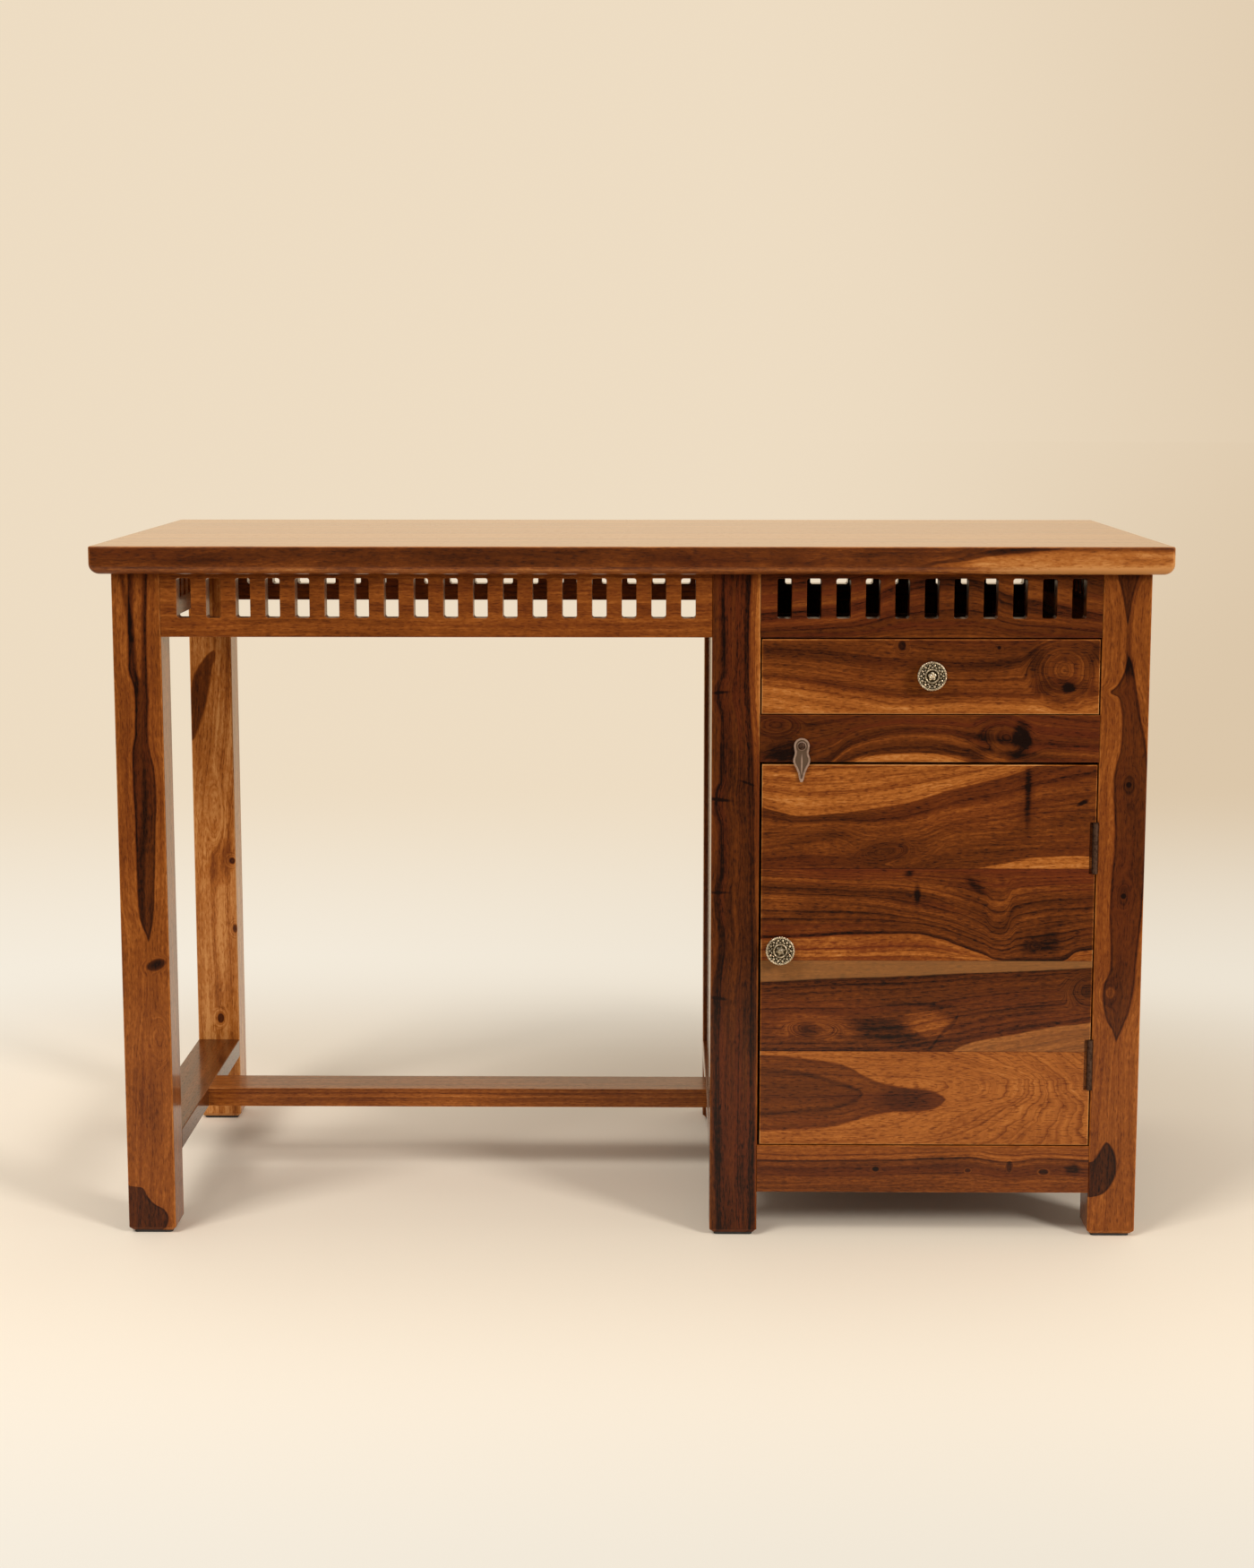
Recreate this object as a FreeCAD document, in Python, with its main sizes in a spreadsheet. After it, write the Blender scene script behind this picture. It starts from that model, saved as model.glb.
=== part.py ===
import FreeCAD, Part

import math
import os
import re

import Sketcher

# Writing desk of solid hardwood on six square legs, with a knee space on the left and a cabinet
# with one drawer and one hinged door on the right. The frame has X to the right, Y to the back
# and Z up; its origin is on the floor under the middle of the top. All lengths are millimetres.

SIZES = {
    # Whole desk
    "desk_width": 1150,
    "desk_depth": 560,
    "desk_height": 760,
    # Top
    "top_thick": 30,
    "top_overhang": 20,
    "top_corner_round": 4,
    "top_upper_round": 2,
    "top_lower_round": 11,
    # Legs and glides
    "leg_side": 52,
    "leg_round": 2,
    "leg_foot_chamfer": 4,
    "knee_width": 590,
    "glide_thick": 3,
    "glide_side": 42,
    "glide_round": 4,
    # Mortises and tenons
    "tenon_thick": 9,
    "tenon_length": 20,
    "tenon_shoulder": 10,
    "joint_play": 0.1,
    "mortise_bottom_gap": 1,
    "cut_overrun": 5,
    # Aprons with their rows of slots
    "apron_height": 68,
    "apron_thick": 22,
    "board_round": 1,
    "slot_width": 15.5,
    "slot_height": 42.7,
    "slot_round": 2.5,
    "slot_chamfer": 0.7,
    "slot_top_strip": 5,
    "slot_margin": 17.5,
    "slot_pitch": 31.6,
    # Rails and stretchers
    "rail_thick": 22,
    "drawer_opening": 83,
    "drawer_rail_height": 51,
    "bottom_rail_bottom": 50,
    "bottom_rail_height": 53,
    "stretcher_thick": 22,
    "stretcher_top": 104,
    "long_stretcher_width": 60,
    # Cabinet panels, floor and shelf
    "panel_thick": 12,
    "panel_recess": 5,
    "groove_depth": 8,
    "floor_thick": 15,
    "shelf_thick": 15,
    "shelf_top": 320,
    "shelf_play": 0.5,
    "cleat_side": 18,
    "cleat_inset": 12,
    # Drawer runners, kickers and stops
    "runner_thick": 22,
    "runner_reach": 21,
    "kicker_height": 20,
    "kicker_gap": 2,
    "stop_height": 20,
    "stop_length": 32.7,
    "stop_gap": 0.3,
    # Drawer
    "drawer_front_thick": 18,
    "drawer_gap_side": 1.5,
    "drawer_gap_top": 1.7,
    "drawer_gap_below": 1,
    "drawer_ride_gap": 0.3,
    "drawer_side_thick": 12,
    "drawer_side_height": 75,
    "drawer_side_inset": 0.5,
    "drawer_housing": 6,
    "drawer_back_drop": 6,
    "drawer_bottom_thick": 5,
    "drawer_bottom_rise": 8,
    "drawer_bottom_groove": 5,
    "face_round": 1.5,
    # Door
    "door_thick": 20,
    "door_gap_free": 2.4,
    "door_gap_hinge": 1.4,
    "door_gap_top": 2.8,
    "door_gap_bottom": 1.2,
    "batten_thick": 15,
    "batten_knob_gap": 9.9,
    "batten_end_inset": 45,
    "batten_round": 3,
    "batten_screw_inset": 25,
    "door_stop_width": 20,
    "door_stop_thick": 16,
    "door_stop_drop": 16,
    "door_stop_inset": 6,
    # Hinges
    "hinge_length": 54,
    "hinge_end_distance": 63.5,
    "hinge_stand": 0.5,
    "barrel_radius": 3,
    "pin_radius": 1.45,
    "pin_play": 0.05,
    "pin_head_thick": 0.8,
    "leaf_thick": 1.2,
    "leaf_width": 17,
    "leaf_play": 0.1,
    "knuckle_gap": 0.3,
    "barrel_clearance": 0.4,
    "barrel_notch_width": 6.2,
    "leaf_screw_spacing": 30,
    # Turn button on the drawer rail
    "button_from_leg": 44.8,
    "button_height": 17.5,
    "button_length": 39.2,
    "button_head_radius": 8.7,
    "button_belly_width": 18.4,
    "button_thick": 2.5,
    "button_gap": 0.3,
    # Knobs
    "knob_radius": 15.75,
    "knob_depth": 18,
    "knob_foot_radius": 7.5,
    "knob_foot_thick": 2,
    "knob_stem_radius": 5,
    "knob_flare": 5.5,
    "knob_disc_thick": 2.6,
    "knob_rim_radius": 1.6,
    "knob_dome_radius": 11,
    "knob_dome_rise": 1.6,
    "knob_boss_radius": 3.6,
    "drawer_knob_height": 42.5,
    "door_knob_height": 219.8,
    "door_knob_inset": 20.6,
    # Bolts and screws
    "bolt_radius": 2,
    "bolt_head_radius": 4.5,
    "bolt_head_thick": 2,
    "bolt_grip": 8,
    "screw_radius": 1.4,
    "screw_head_radius": 2.7,
    "screw_head_thick": 1.2,
    "screw_length": 14,
    "round_screw_radius": 2,
    "round_head_radius": 4.2,
    "round_head_rise": 2.2,
    "round_screw_length": 18,
    # Steel angle brackets that hold the top
    "bracket_width": 14,
    "bracket_arm": 22,
    "bracket_thick": 1.6,
    "bracket_hole_place": 14,
}

# Half steps of a row of slots from its first slot to a bracket
BRACKET_STEPS = 5

# Width of each door batten, as a share of the door's width
BATTEN_WIDTH_SHARE = 0.139

PLACES = {
    # Legs: the low X and low Y corner of each column and row of legs
    "left_legs": "top_overhang - desk_width / 2",
    "right_legs": "desk_width / 2 - top_overhang - leg_side",
    "middle_legs": "left_legs + leg_side + knee_width",
    "front_legs": "top_overhang - desk_depth / 2",
    "back_legs": "desk_depth / 2 - top_overhang - leg_side",
    "back_face": "back_legs + leg_side",
    "right_face": "right_legs + leg_side",
    # Openings between legs
    "knee_left": "left_legs + leg_side",
    "cabinet_left": "middle_legs + leg_side",
    "cabinet_width": "right_legs - cabinet_left",
    "trestle_front": "front_legs + leg_side",
    "trestle_depth": "back_legs - trestle_front",
    # Heights
    "under_top": "desk_height - top_thick",
    "apron_bottom": "under_top - apron_height",
    "drawer_rail_top": "apron_bottom - drawer_opening",
    "drawer_rail_bottom": "drawer_rail_top - drawer_rail_height",
    "floor_top": "bottom_rail_bottom + bottom_rail_height",
    "stretcher_bottom": "stretcher_top - stretcher_thick",
    # Rows of slots: their length and the number of steps in each
    "knee_row": "knee_width - 2 * slot_margin - slot_width",
    "cabinet_row": "cabinet_width - 2 * slot_margin - slot_width",
    "trestle_row": "trestle_depth - 2 * slot_margin - slot_width",
    "knee_steps": "round(knee_row / slot_pitch)",
    "cabinet_steps": "round(cabinet_row / slot_pitch)",
    "trestle_steps": "round(trestle_row / slot_pitch)",
    "knee_bracket": f"slot_margin + (slot_width + {BRACKET_STEPS} * knee_row / knee_steps) / 2",
    "cabinet_bracket": f"slot_margin + (slot_width + {BRACKET_STEPS} * cabinet_row / cabinet_steps) / 2",
    # Inner faces of the cabinet
    "left_panel_face": "middle_legs + panel_recess + panel_thick",
    "right_panel_face": "right_face - panel_recess - panel_thick",
    "back_panel_face": "back_face - panel_recess - panel_thick",
    "front_rail_back": "front_legs + rail_thick",
    "back_rail_front": "back_face - rail_thick",
    # Drawer
    "drawer_depth": "back_panel_face - front_legs - stop_length - stop_gap",
    "drawer_left": "cabinet_left + drawer_gap_side",
    "drawer_width": "cabinet_width - 2 * drawer_gap_side",
    "drawer_low": "drawer_rail_top + drawer_gap_below",
    "drawer_front_height": "drawer_opening - drawer_gap_below - drawer_gap_top",
    "side_low": "drawer_rail_top + drawer_ride_gap",
    "side_start": "drawer_front_thick - drawer_housing",
    "side_length": "drawer_depth - side_start",
    "side_place": "drawer_side_inset + drawer_side_thick",
    "box_width": "drawer_width - 2 * side_place",
    "bottom_low": "side_low + drawer_bottom_rise",
    "kicker_low": "side_low + drawer_side_height + kicker_gap",
    "runner_low": "drawer_rail_top - runner_thick",
    # Door
    "door_left": "cabinet_left + door_gap_free",
    "door_width": "cabinet_width - door_gap_free - door_gap_hinge",
    "door_low": "floor_top + door_gap_bottom",
    "door_height": "drawer_rail_bottom - door_gap_top - door_low",
    "door_back": "front_legs + door_thick",
    "batten_width": f"door_width * {BATTEN_WIDTH_SHARE}",
    "batten_side_inset": "door_knob_inset + bolt_head_radius + batten_knob_gap",
    # Hinges: the axis, and the lower end of each barrel
    "hinge_x": "right_legs + leaf_thick - barrel_radius",
    "hinge_y": "front_legs - hinge_stand",
    "upper_hinge": "door_low + door_height - hinge_end_distance - hinge_length",
    "lower_hinge": "door_low + hinge_end_distance",
    "knuckle_length": "(hinge_length - 2 * knuckle_gap) / 3",
    "leaf_root": "barrel_radius + barrel_clearance",
    "notch_rise": "pin_head_thick + barrel_clearance",
    "leaf_screw_y": "(leaf_root + leaf_width) / 2",
    "leaf_screw_low": "(hinge_length - leaf_screw_spacing) / 2",
    # Turn button
    "button_x": "cabinet_left + button_from_leg",
    "button_z": "drawer_rail_bottom + button_height",
    "button_front": "button_gap + button_thick",
    # Knobs
    "knob_disc_low": "knob_depth - knob_disc_thick - knob_dome_rise - knob_dome_rise / 2",
    "drawer_knob_x": "drawer_left + drawer_width / 2",
    "drawer_knob_z": "drawer_low + drawer_knob_height",
    "door_knob_x": "door_left + door_knob_inset",
    "door_knob_z": "door_low + door_knob_height",
}

# Half widths of the turn button below its pivot, as shares of its belly's width, and how far
# down each lies, as shares of its length
BUTTON_WIDTH_SHARES = (0.42, 0.39, 0.5, 0.455, 0.32, 0.174)
BUTTON_DROP_SHARES = (0.1, 0.166, 0.375, 0.49, 0.602, 0.804)

X_WAY = FreeCAD.Vector(1, 0, 0)
Y_WAY = FreeCAD.Vector(0, 1, 0)
Z_WAY = FreeCAD.Vector(0, 0, 1)
TURNS = {
    "up": FreeCAD.Rotation(),
    "down": FreeCAD.Rotation(X_WAY, 180),
    "right": FreeCAD.Rotation(Y_WAY, 90),
    "left": FreeCAD.Rotation(Y_WAY, -90),
    "front": FreeCAD.Rotation(X_WAY, 90),
    "back": FreeCAD.Rotation(X_WAY, -90),
}

doc = FreeCAD.newDocument("writing_desk")
nodes = []


def spelled(formula):
    """Write the sheet's name before every size and place that a formula names."""
    def with_sheet(match):
        word = match.group()
        if word in SIZES:
            return "Sizes." + word
        return "Places." + word if word in PLACES else word
    return re.sub(r"[a-z]\w*", with_sheet, formula)


def bind(thing, name, formula):
    """Tie one property of an object, or one constraint of a sketch, to a formula."""
    thing.setExpression(name, spelled(formula))


def length_of(formula):
    """The present value of a formula, in millimetres."""
    return float(places.evalExpression(spelled(formula)))


def fill_sheet(name, rows):
    """A sheet with a name in each row's first cell and its number or formula in the second."""
    sheet = doc.addObject("Spreadsheet::Sheet", name)
    for row, (alias, content) in enumerate(rows.items(), 1):
        sheet.set(f"A{row}", alias)
        sheet.set(f"B{row}", content)
        sheet.setAlias(f"B{row}", alias)
    doc.recompute()
    return sheet


def seat(thing, corner, turn=None):
    """Turn an object, then tie its place to three formulas."""
    if turn is not None:
        thing.Placement = FreeCAD.Placement(FreeCAD.Vector(), turn)
    for axis, formula in zip("xyz", corner):
        if formula != "0":
            bind(thing, "Placement.Base." + axis, formula)


def new_body(label, corner, turn=None, node=True):
    """An empty body at its place; a node is a piece of the desk that gets a file of its own."""
    body = doc.addObject("PartDesign::Body", label)
    body.Label = label
    seat(body, corner, turn)
    if node:
        nodes.append(body)
    return body


def block(body, name, corner, size, cut=False):
    """A box that is added to a body, or cut from it."""
    kind = "Subtractive" if cut else "Additive"
    box = body.newObject(f"PartDesign::{kind}Box", name)
    for side, formula in zip(("Length", "Width", "Height"), size):
        bind(box, side, formula)
    seat(box, corner)
    return box


def rod(body, name, start, radius, length, way="up", cut=False):
    """A cylinder that starts at a point and runs one way."""
    kind = "Subtractive" if cut else "Additive"
    cylinder = body.newObject(f"PartDesign::{kind}Cylinder", name)
    bind(cylinder, "Radius", radius)
    bind(cylinder, "Height", length)
    seat(cylinder, start, TURNS[way])
    return cylinder


def cone(body, name, start, radii, length, way="up", cut=False):
    """A cone from the first radius at its start to the second at its end."""
    kind = "Subtractive" if cut else "Additive"
    taper = body.newObject(f"PartDesign::{kind}Cone", name)
    bind(taper, "Radius1", radii[0])
    bind(taper, "Radius2", radii[1])
    bind(taper, "Height", length)
    seat(taper, start, TURNS[way])
    return taper


def dome(body, name, centre, radius, rise):
    """A flattened ball, of which half stands out of the piece as a dome."""
    ball = body.newObject("PartDesign::AdditiveEllipsoid", name)
    bind(ball, "Radius1", rise)
    bind(ball, "Radius2", radius)
    bind(ball, "Radius3", radius)
    seat(ball, centre)
    return ball


def rounded_outline(body, name, plane, corner, size, radius):
    """A sketch of a rectangle with rounded corners on one of the body's own planes."""
    sketch = body.newObject("Sketcher::SketchObject", name)
    support = [feature for feature in body.Origin.OriginFeatures if feature.Role == plane]
    sketch.AttachmentSupport = [(support[0], "")]
    sketch.MapMode = "FlatFace"
    left, low, wide, tall, curve = (length_of(text) for text in (*corner, *size, radius))
    right, high = left + wide, low + tall
    centres = (
        (right - curve, low + curve),
        (right - curve, high - curve),
        (left + curve, high - curve),
        (left + curve, low + curve),
    )
    arcs = []
    for quarter, (across, up) in enumerate(centres, -1):
        circle = Part.Circle(FreeCAD.Vector(across, up, 0), Z_WAY, curve)
        start = quarter * math.pi / 2
        arcs.append(sketch.addGeometry(Part.ArcOfCircle(circle, start, start + math.pi / 2)))
    runs = (
        ((left + curve, low), (right - curve, low)),
        ((right, low + curve), (right, high - curve)),
        ((right - curve, high), (left + curve, high)),
        ((left, high - curve), (left, low + curve)),
    )
    lines = []
    for start, end in runs:
        line = Part.LineSegment(FreeCAD.Vector(*start, 0), FreeCAD.Vector(*end, 0))
        lines.append(sketch.addGeometry(line))
    for turn, (line, arc) in enumerate(zip(lines, arcs)):
        level = "Vertical" if turn % 2 else "Horizontal"
        sketch.addConstraint(Sketcher.Constraint("Tangent", line, 2, arc, 1))
        sketch.addConstraint(Sketcher.Constraint("Tangent", arc, 2, lines[(turn + 1) % len(lines)], 1))
        sketch.addConstraint(Sketcher.Constraint(level, line))
    for arc in arcs[1:]:
        sketch.addConstraint(Sketcher.Constraint("Equal", arcs[0], arc))
    named = (
        ("left", Sketcher.Constraint("DistanceX", -1, 1, lines[3], 1, left), corner[0]),
        ("low", Sketcher.Constraint("DistanceY", -1, 1, lines[0], 1, low), corner[1]),
        ("wide", Sketcher.Constraint("DistanceX", lines[3], 1, lines[1], 1, wide), size[0]),
        ("tall", Sketcher.Constraint("DistanceY", lines[0], 1, lines[2], 1, tall), size[1]),
        ("curve", Sketcher.Constraint("Radius", arcs[0], curve), radius),
    )
    for word, constraint, formula in named:
        sketch.renameConstraint(sketch.addConstraint(constraint), word)
        bind(sketch, "Constraints." + word, formula)
    return sketch


def pad(body, name, sketch, length):
    """Raise a sketch to a solid."""
    feature = body.newObject("PartDesign::Pad", name)
    feature.Profile = sketch
    bind(feature, "Length", length)
    return feature


def along(way):
    """A test for the straight edges that run one way."""
    def runs_along(edge):
        return abs(edge.tangentAt(edge.FirstParameter).dot(way)) > 1 - Part.Precision.confusion()
    return runs_along


def climbing(edge):
    """A test for the edges that don't lie level."""
    return edge.BoundBox.ZLength > length_of("joint_play")


def level_with(axis, formula):
    """A test for the edges that lie wholly in the plane at one place on an axis."""
    def lies_level(edge):
        box = edge.BoundBox
        low, high = {"y": (box.YMin, box.YMax), "z": (box.ZMin, box.ZMax)}[axis]
        near = length_of("joint_play")
        return abs(low - length_of(formula)) < near and abs(high - length_of(formula)) < near
    return lies_level


def ease(body, kind, name, size, *tests):
    """Round (Fillet) or bevel (Chamfer) the edges of a body's last feature that pass all tests."""
    doc.recompute()
    last = body.Tip
    picked = []
    for number, edge in enumerate(last.Shape.Edges, 1):
        if all(test(edge) for test in tests):
            picked.append(f"Edge{number}")
    feature = body.newObject("PartDesign::" + kind, name)
    feature.Base = (last, picked)
    bind(feature, "Radius" if kind == "Fillet" else "Size", size)
    return feature


def screw_hole(body, number, start, thick, way):
    """A clearance hole right through a piece, countersunk where the screw goes in."""
    rod(
        body, f"screw_hole_{number}", start, "screw_radius + joint_play",
        f"{thick} + cut_overrun", way, cut=True)
    cone(
        body, f"countersink_{number}", start,
        ("screw_head_radius + joint_play", "screw_radius + joint_play"), "screw_head_thick", way, cut=True)


def board(label, corner, size, ease_way=None):
    """A plain board; the edges that run the given way are eased."""
    piece = new_body(label, corner)
    block(piece, "board", ("0", "0", "0"), size)
    if ease_way is not None:
        ease(piece, "Fillet", "arris", "board_round", along(ease_way))
    return piece


def copies(label, placed):
    """One node that holds a copy of a model piece at each place, as separate solids."""
    links = []
    for model, corner, turn in placed:
        link = doc.addObject("App::Link", label + "_copy")
        link.LinkedObject = model
        seat(link, corner, turn)
        links.append(link)
    group = doc.addObject("Part::Compound", label)
    group.Label = label
    group.Links = links
    nodes.append(group)


fill_sheet("Sizes", {name: str(size) for name, size in SIZES.items()})
places = fill_sheet("Places", {name: "=" + spelled(text) for name, text in PLACES.items()})


# Top: one broad slab, nearly square above and well rounded below

top = new_body("tabletop", ("-desk_width / 2", "-desk_depth / 2", "under_top"))
outline = rounded_outline(
    top, "outline", "XY_Plane", ("0", "0"), ("desk_width", "desk_depth"), "top_corner_round")
pad(top, "slab", outline, "top_thick")
ease(top, "Fillet", "lower_edge", "top_lower_round", level_with("z", "0"))
ease(top, "Fillet", "upper_edge", "top_upper_round", level_with("z", "top_thick"))


# Legs: six square posts; each row below gives the boards that are let into a leg's faces

TENON_DEPTH = "tenon_length + mortise_bottom_gap"


def mortise(leg, name, axis, face, centre, wide, low, tall, depth=TENON_DEPTH):
    """A socket in a leg's low or high face on one axis, centred across that face."""
    start = "-cut_overrun" if face == "low" else f"leg_side - ({depth})"
    entry = (start, f"{depth} + cut_overrun")
    across = (f"{centre} - ({wide}) / 2 - joint_play", f"{wide} + 2 * joint_play")
    height = (f"{low} - joint_play", f"{tall} + 2 * joint_play")
    spans = (entry, across, height) if axis == "x" else (across, entry, height)
    corner, size = zip(*spans)
    block(leg, name, corner, size, cut=True)


def hinge_recess(leg, name, low):
    """The shallow recess for a hinge leaf in a leg's low X face, with room for the barrel."""
    block(
        leg, name + "_leaf_recess", ("-cut_overrun", "-cut_overrun", f"{low} - leaf_play"),
        (
            "cut_overrun + leaf_thick", "cut_overrun + leaf_width - hinge_stand + leaf_play",
            "hinge_length + 2 * leaf_play"), cut=True)
    block(
        leg, name + "_barrel_notch", ("-cut_overrun", "-cut_overrun", f"{low} - notch_rise"),
        (
            "cut_overrun + leaf_thick + barrel_clearance", "cut_overrun + leaf_root - hinge_stand",
            "hinge_length + 2 * notch_rise"), cut=True)
    for number, rise in enumerate(("0", "leaf_screw_spacing"), 1):
        rod(
            leg, f"{name}_pilot_{number}",
            ("0", "leaf_screw_y - hinge_stand", f"{low} + leaf_screw_low + {rise}"),
            "screw_radius + joint_play", "screw_length + mortise_bottom_gap", "right", cut=True)


def make_leg(column, row):
    """One leg with every socket and groove that its place in the desk asks for."""
    leg = new_body(f"leg_{row}_{column}", (f"{column}_legs", f"{row}_legs", "0"))
    block(leg, "post", ("0", "0", "glide_thick"), ("leg_side", "leg_side", "under_top - glide_thick"))
    ease(leg, "Chamfer", "foot", "leg_foot_chamfer", level_with("z", "glide_thick"))
    ease(leg, "Fillet", "long_edges", "leg_round", climbing)
    front = row == "front"
    inner_y = "high" if front else "low"
    board_y = "apron_thick / 2" if front else "leg_side - apron_thick / 2"
    board_x = "leg_side - apron_thick / 2" if column == "right" else "apron_thick / 2"
    tenon_low, tenon_tall = "apron_bottom + tenon_shoulder", "apron_height - 2 * tenon_shoulder"
    for face in {"left": ["high"], "middle": ["low", "high"], "right": ["low"]}[column]:
        mortise(leg, f"apron_socket_{face}", "x", face, board_y, "tenon_thick", tenon_low, tenon_tall)
    mortise(leg, "trestle_apron_socket", "y", inner_y, board_x, "tenon_thick", tenon_low, tenon_tall)
    mortise(
        leg, "stretcher_socket", "y", inner_y, "leg_side / 2", "leg_side - 2 * tenon_shoulder",
        "stretcher_bottom + (stretcher_thick - tenon_thick) / 2", "tenon_thick")
    if column == "left":
        return
    cabinet_face = "high" if column == "middle" else "low"
    rail_y = "rail_thick / 2" if front else "leg_side - rail_thick / 2"
    mortise(
        leg, "bottom_rail_socket", "x", cabinet_face, rail_y, "tenon_thick",
        "bottom_rail_bottom + tenon_shoulder", "bottom_rail_height - 2 * tenon_shoulder")
    panel_x = "panel_recess + panel_thick / 2"
    if column == "right":
        panel_x = "leg_side - panel_recess - panel_thick / 2"
    mortise(
        leg, "side_panel_groove", "y", inner_y, panel_x, "panel_thick",
        "stretcher_top", "apron_bottom - stretcher_top", "groove_depth")
    if front:
        mortise(
            leg, "drawer_rail_socket", "x", cabinet_face, rail_y, "tenon_thick",
            "drawer_rail_bottom + tenon_shoulder", "drawer_rail_height - 2 * tenon_shoulder")
    else:
        mortise(
            leg, "back_panel_groove", "x", cabinet_face, "leg_side - panel_recess - panel_thick / 2",
            "panel_thick", "floor_top", "apron_bottom - floor_top", "groove_depth")
    if front and column == "right":
        hinge_recess(leg, "upper_hinge", "upper_hinge")
        hinge_recess(leg, "lower_hinge", "lower_hinge")


for column in ("left", "middle", "right"):
    for row in ("front", "back"):
        make_leg(column, row)

glide = new_body("glide_model", ("0", "0", "0"), node=False)
glide_outline = rounded_outline(
    glide, "outline", "XY_Plane", ("(leg_side - glide_side) / 2", "(leg_side - glide_side) / 2"),
    ("glide_side", "glide_side"), "glide_round")
pad(glide, "pad", glide_outline, "glide_thick")
glide_places = []
for column in ("left", "middle", "right"):
    for row in ("front", "back"):
        glide_places.append((glide, (f"{column}_legs", f"{row}_legs", "0"), None))
copies("foot_glides", glide_places)


# Boards between the legs: each lies along its own X, outer face at its own Y of zero

def tenoned_board(label, corner, size, turn=0, flat=False):
    """A board with a tenon on each end; a flat one has its tenons' thickness upright."""
    piece = new_body(label, corner, FreeCAD.Rotation(Z_WAY, turn))
    length, wide, tall = size
    block(piece, "board", ("0", "0", "0"), size)
    ease(piece, "Fillet", "arris", "board_round", along(X_WAY))
    corner_yz = (f"({wide} - tenon_thick) / 2", "tenon_shoulder")
    size_yz = ("tenon_thick", f"{tall} - 2 * tenon_shoulder")
    if flat:
        corner_yz = ("tenon_shoulder", f"({tall} - tenon_thick) / 2")
        size_yz = (f"{wide} - 2 * tenon_shoulder", "tenon_thick")
    block(piece, "low_tenon", ("-tenon_length", *corner_yz), ("tenon_length", *size_yz))
    block(piece, "high_tenon", (length, *corner_yz), ("tenon_length", *size_yz))
    return piece


def slotted_apron(label, corner, opening, bay, turn=0, bracket=None):
    """A tenoned apron with a row of upright slots that are eased on its outer face."""
    piece = tenoned_board(label, corner, (opening, "apron_thick", "apron_height"), turn)
    slot = rounded_outline(
        piece, "slot_outline", "XZ_Plane",
        ("slot_margin", "apron_height - slot_top_strip - slot_height"),
        ("slot_width", "slot_height"), "slot_round")
    pocket = piece.newObject("PartDesign::Pocket", "slot")
    pocket.Profile = slot
    pocket.Type = "ThroughAll"
    pocket.Midplane = True
    slots = piece.newObject("PartDesign::LinearPattern", "slot_row")
    slots.Originals = [pocket]
    slots.Direction = (slot, ["H_Axis"])
    bind(slots, "Length", f"{bay}_row")
    bind(slots, "Occurrences", f"{bay}_steps + 1")
    piece.Tip = slots
    inside = length_of("slot_top_strip") / 2
    highest = length_of("apron_height") - inside

    def round_a_slot(edge):
        return inside < edge.BoundBox.ZMin and edge.BoundBox.ZMax < highest

    ease(piece, "Chamfer", "slot_arris", "slot_chamfer", level_with("y", "0"), round_a_slot)
    if bracket is not None:
        for number, place in enumerate((bracket, f"{opening} - {bracket}"), 1):
            rod(
                piece, f"bracket_pilot_{number}", (place, "apron_thick", "apron_height - bracket_hole_place"),
                "screw_radius + joint_play", "screw_length", "front", cut=True)
    return piece


slotted_apron(
    "apron_front_knee", ("knee_left", "front_legs", "apron_bottom"), "knee_width", "knee", 0, "knee_bracket")
slotted_apron(
    "apron_front_cabinet", ("cabinet_left", "front_legs", "apron_bottom"), "cabinet_width", "cabinet", 0,
    "cabinet_bracket")
slotted_apron(
    "apron_back_knee", ("middle_legs", "back_face", "apron_bottom"), "knee_width", "knee", 180,
    "knee_bracket")
slotted_apron(
    "apron_back_cabinet", ("right_legs", "back_face", "apron_bottom"), "cabinet_width", "cabinet", 180,
    "cabinet_bracket")
slotted_apron("apron_left", ("left_legs", "back_legs", "apron_bottom"), "trestle_depth", "trestle", -90)
slotted_apron("apron_right", ("right_face", "trestle_front", "apron_bottom"), "trestle_depth", "trestle", 90)
tenoned_board(
    "apron_middle", ("middle_legs", "back_legs", "apron_bottom"),
    ("trestle_depth", "apron_thick", "apron_height"), -90)

drawer_rail = tenoned_board(
    "drawer_rail", ("cabinet_left", "front_legs", "drawer_rail_bottom"),
    ("cabinet_width", "rail_thick", "drawer_rail_height"))
rod(
    drawer_rail, "button_pilot", ("button_from_leg", "0", "button_height"),
    "round_screw_radius + joint_play", "round_screw_length - button_gap", "back", cut=True)
tenoned_board(
    "bottom_rail_front", ("cabinet_left", "front_legs", "bottom_rail_bottom"),
    ("cabinet_width", "rail_thick", "bottom_rail_height"))
tenoned_board(
    "bottom_rail_back", ("right_legs", "back_face", "bottom_rail_bottom"),
    ("cabinet_width", "rail_thick", "bottom_rail_height"), 180)

# Stretchers: a flat board low between each pair of legs, and a long one across the knee space

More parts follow.
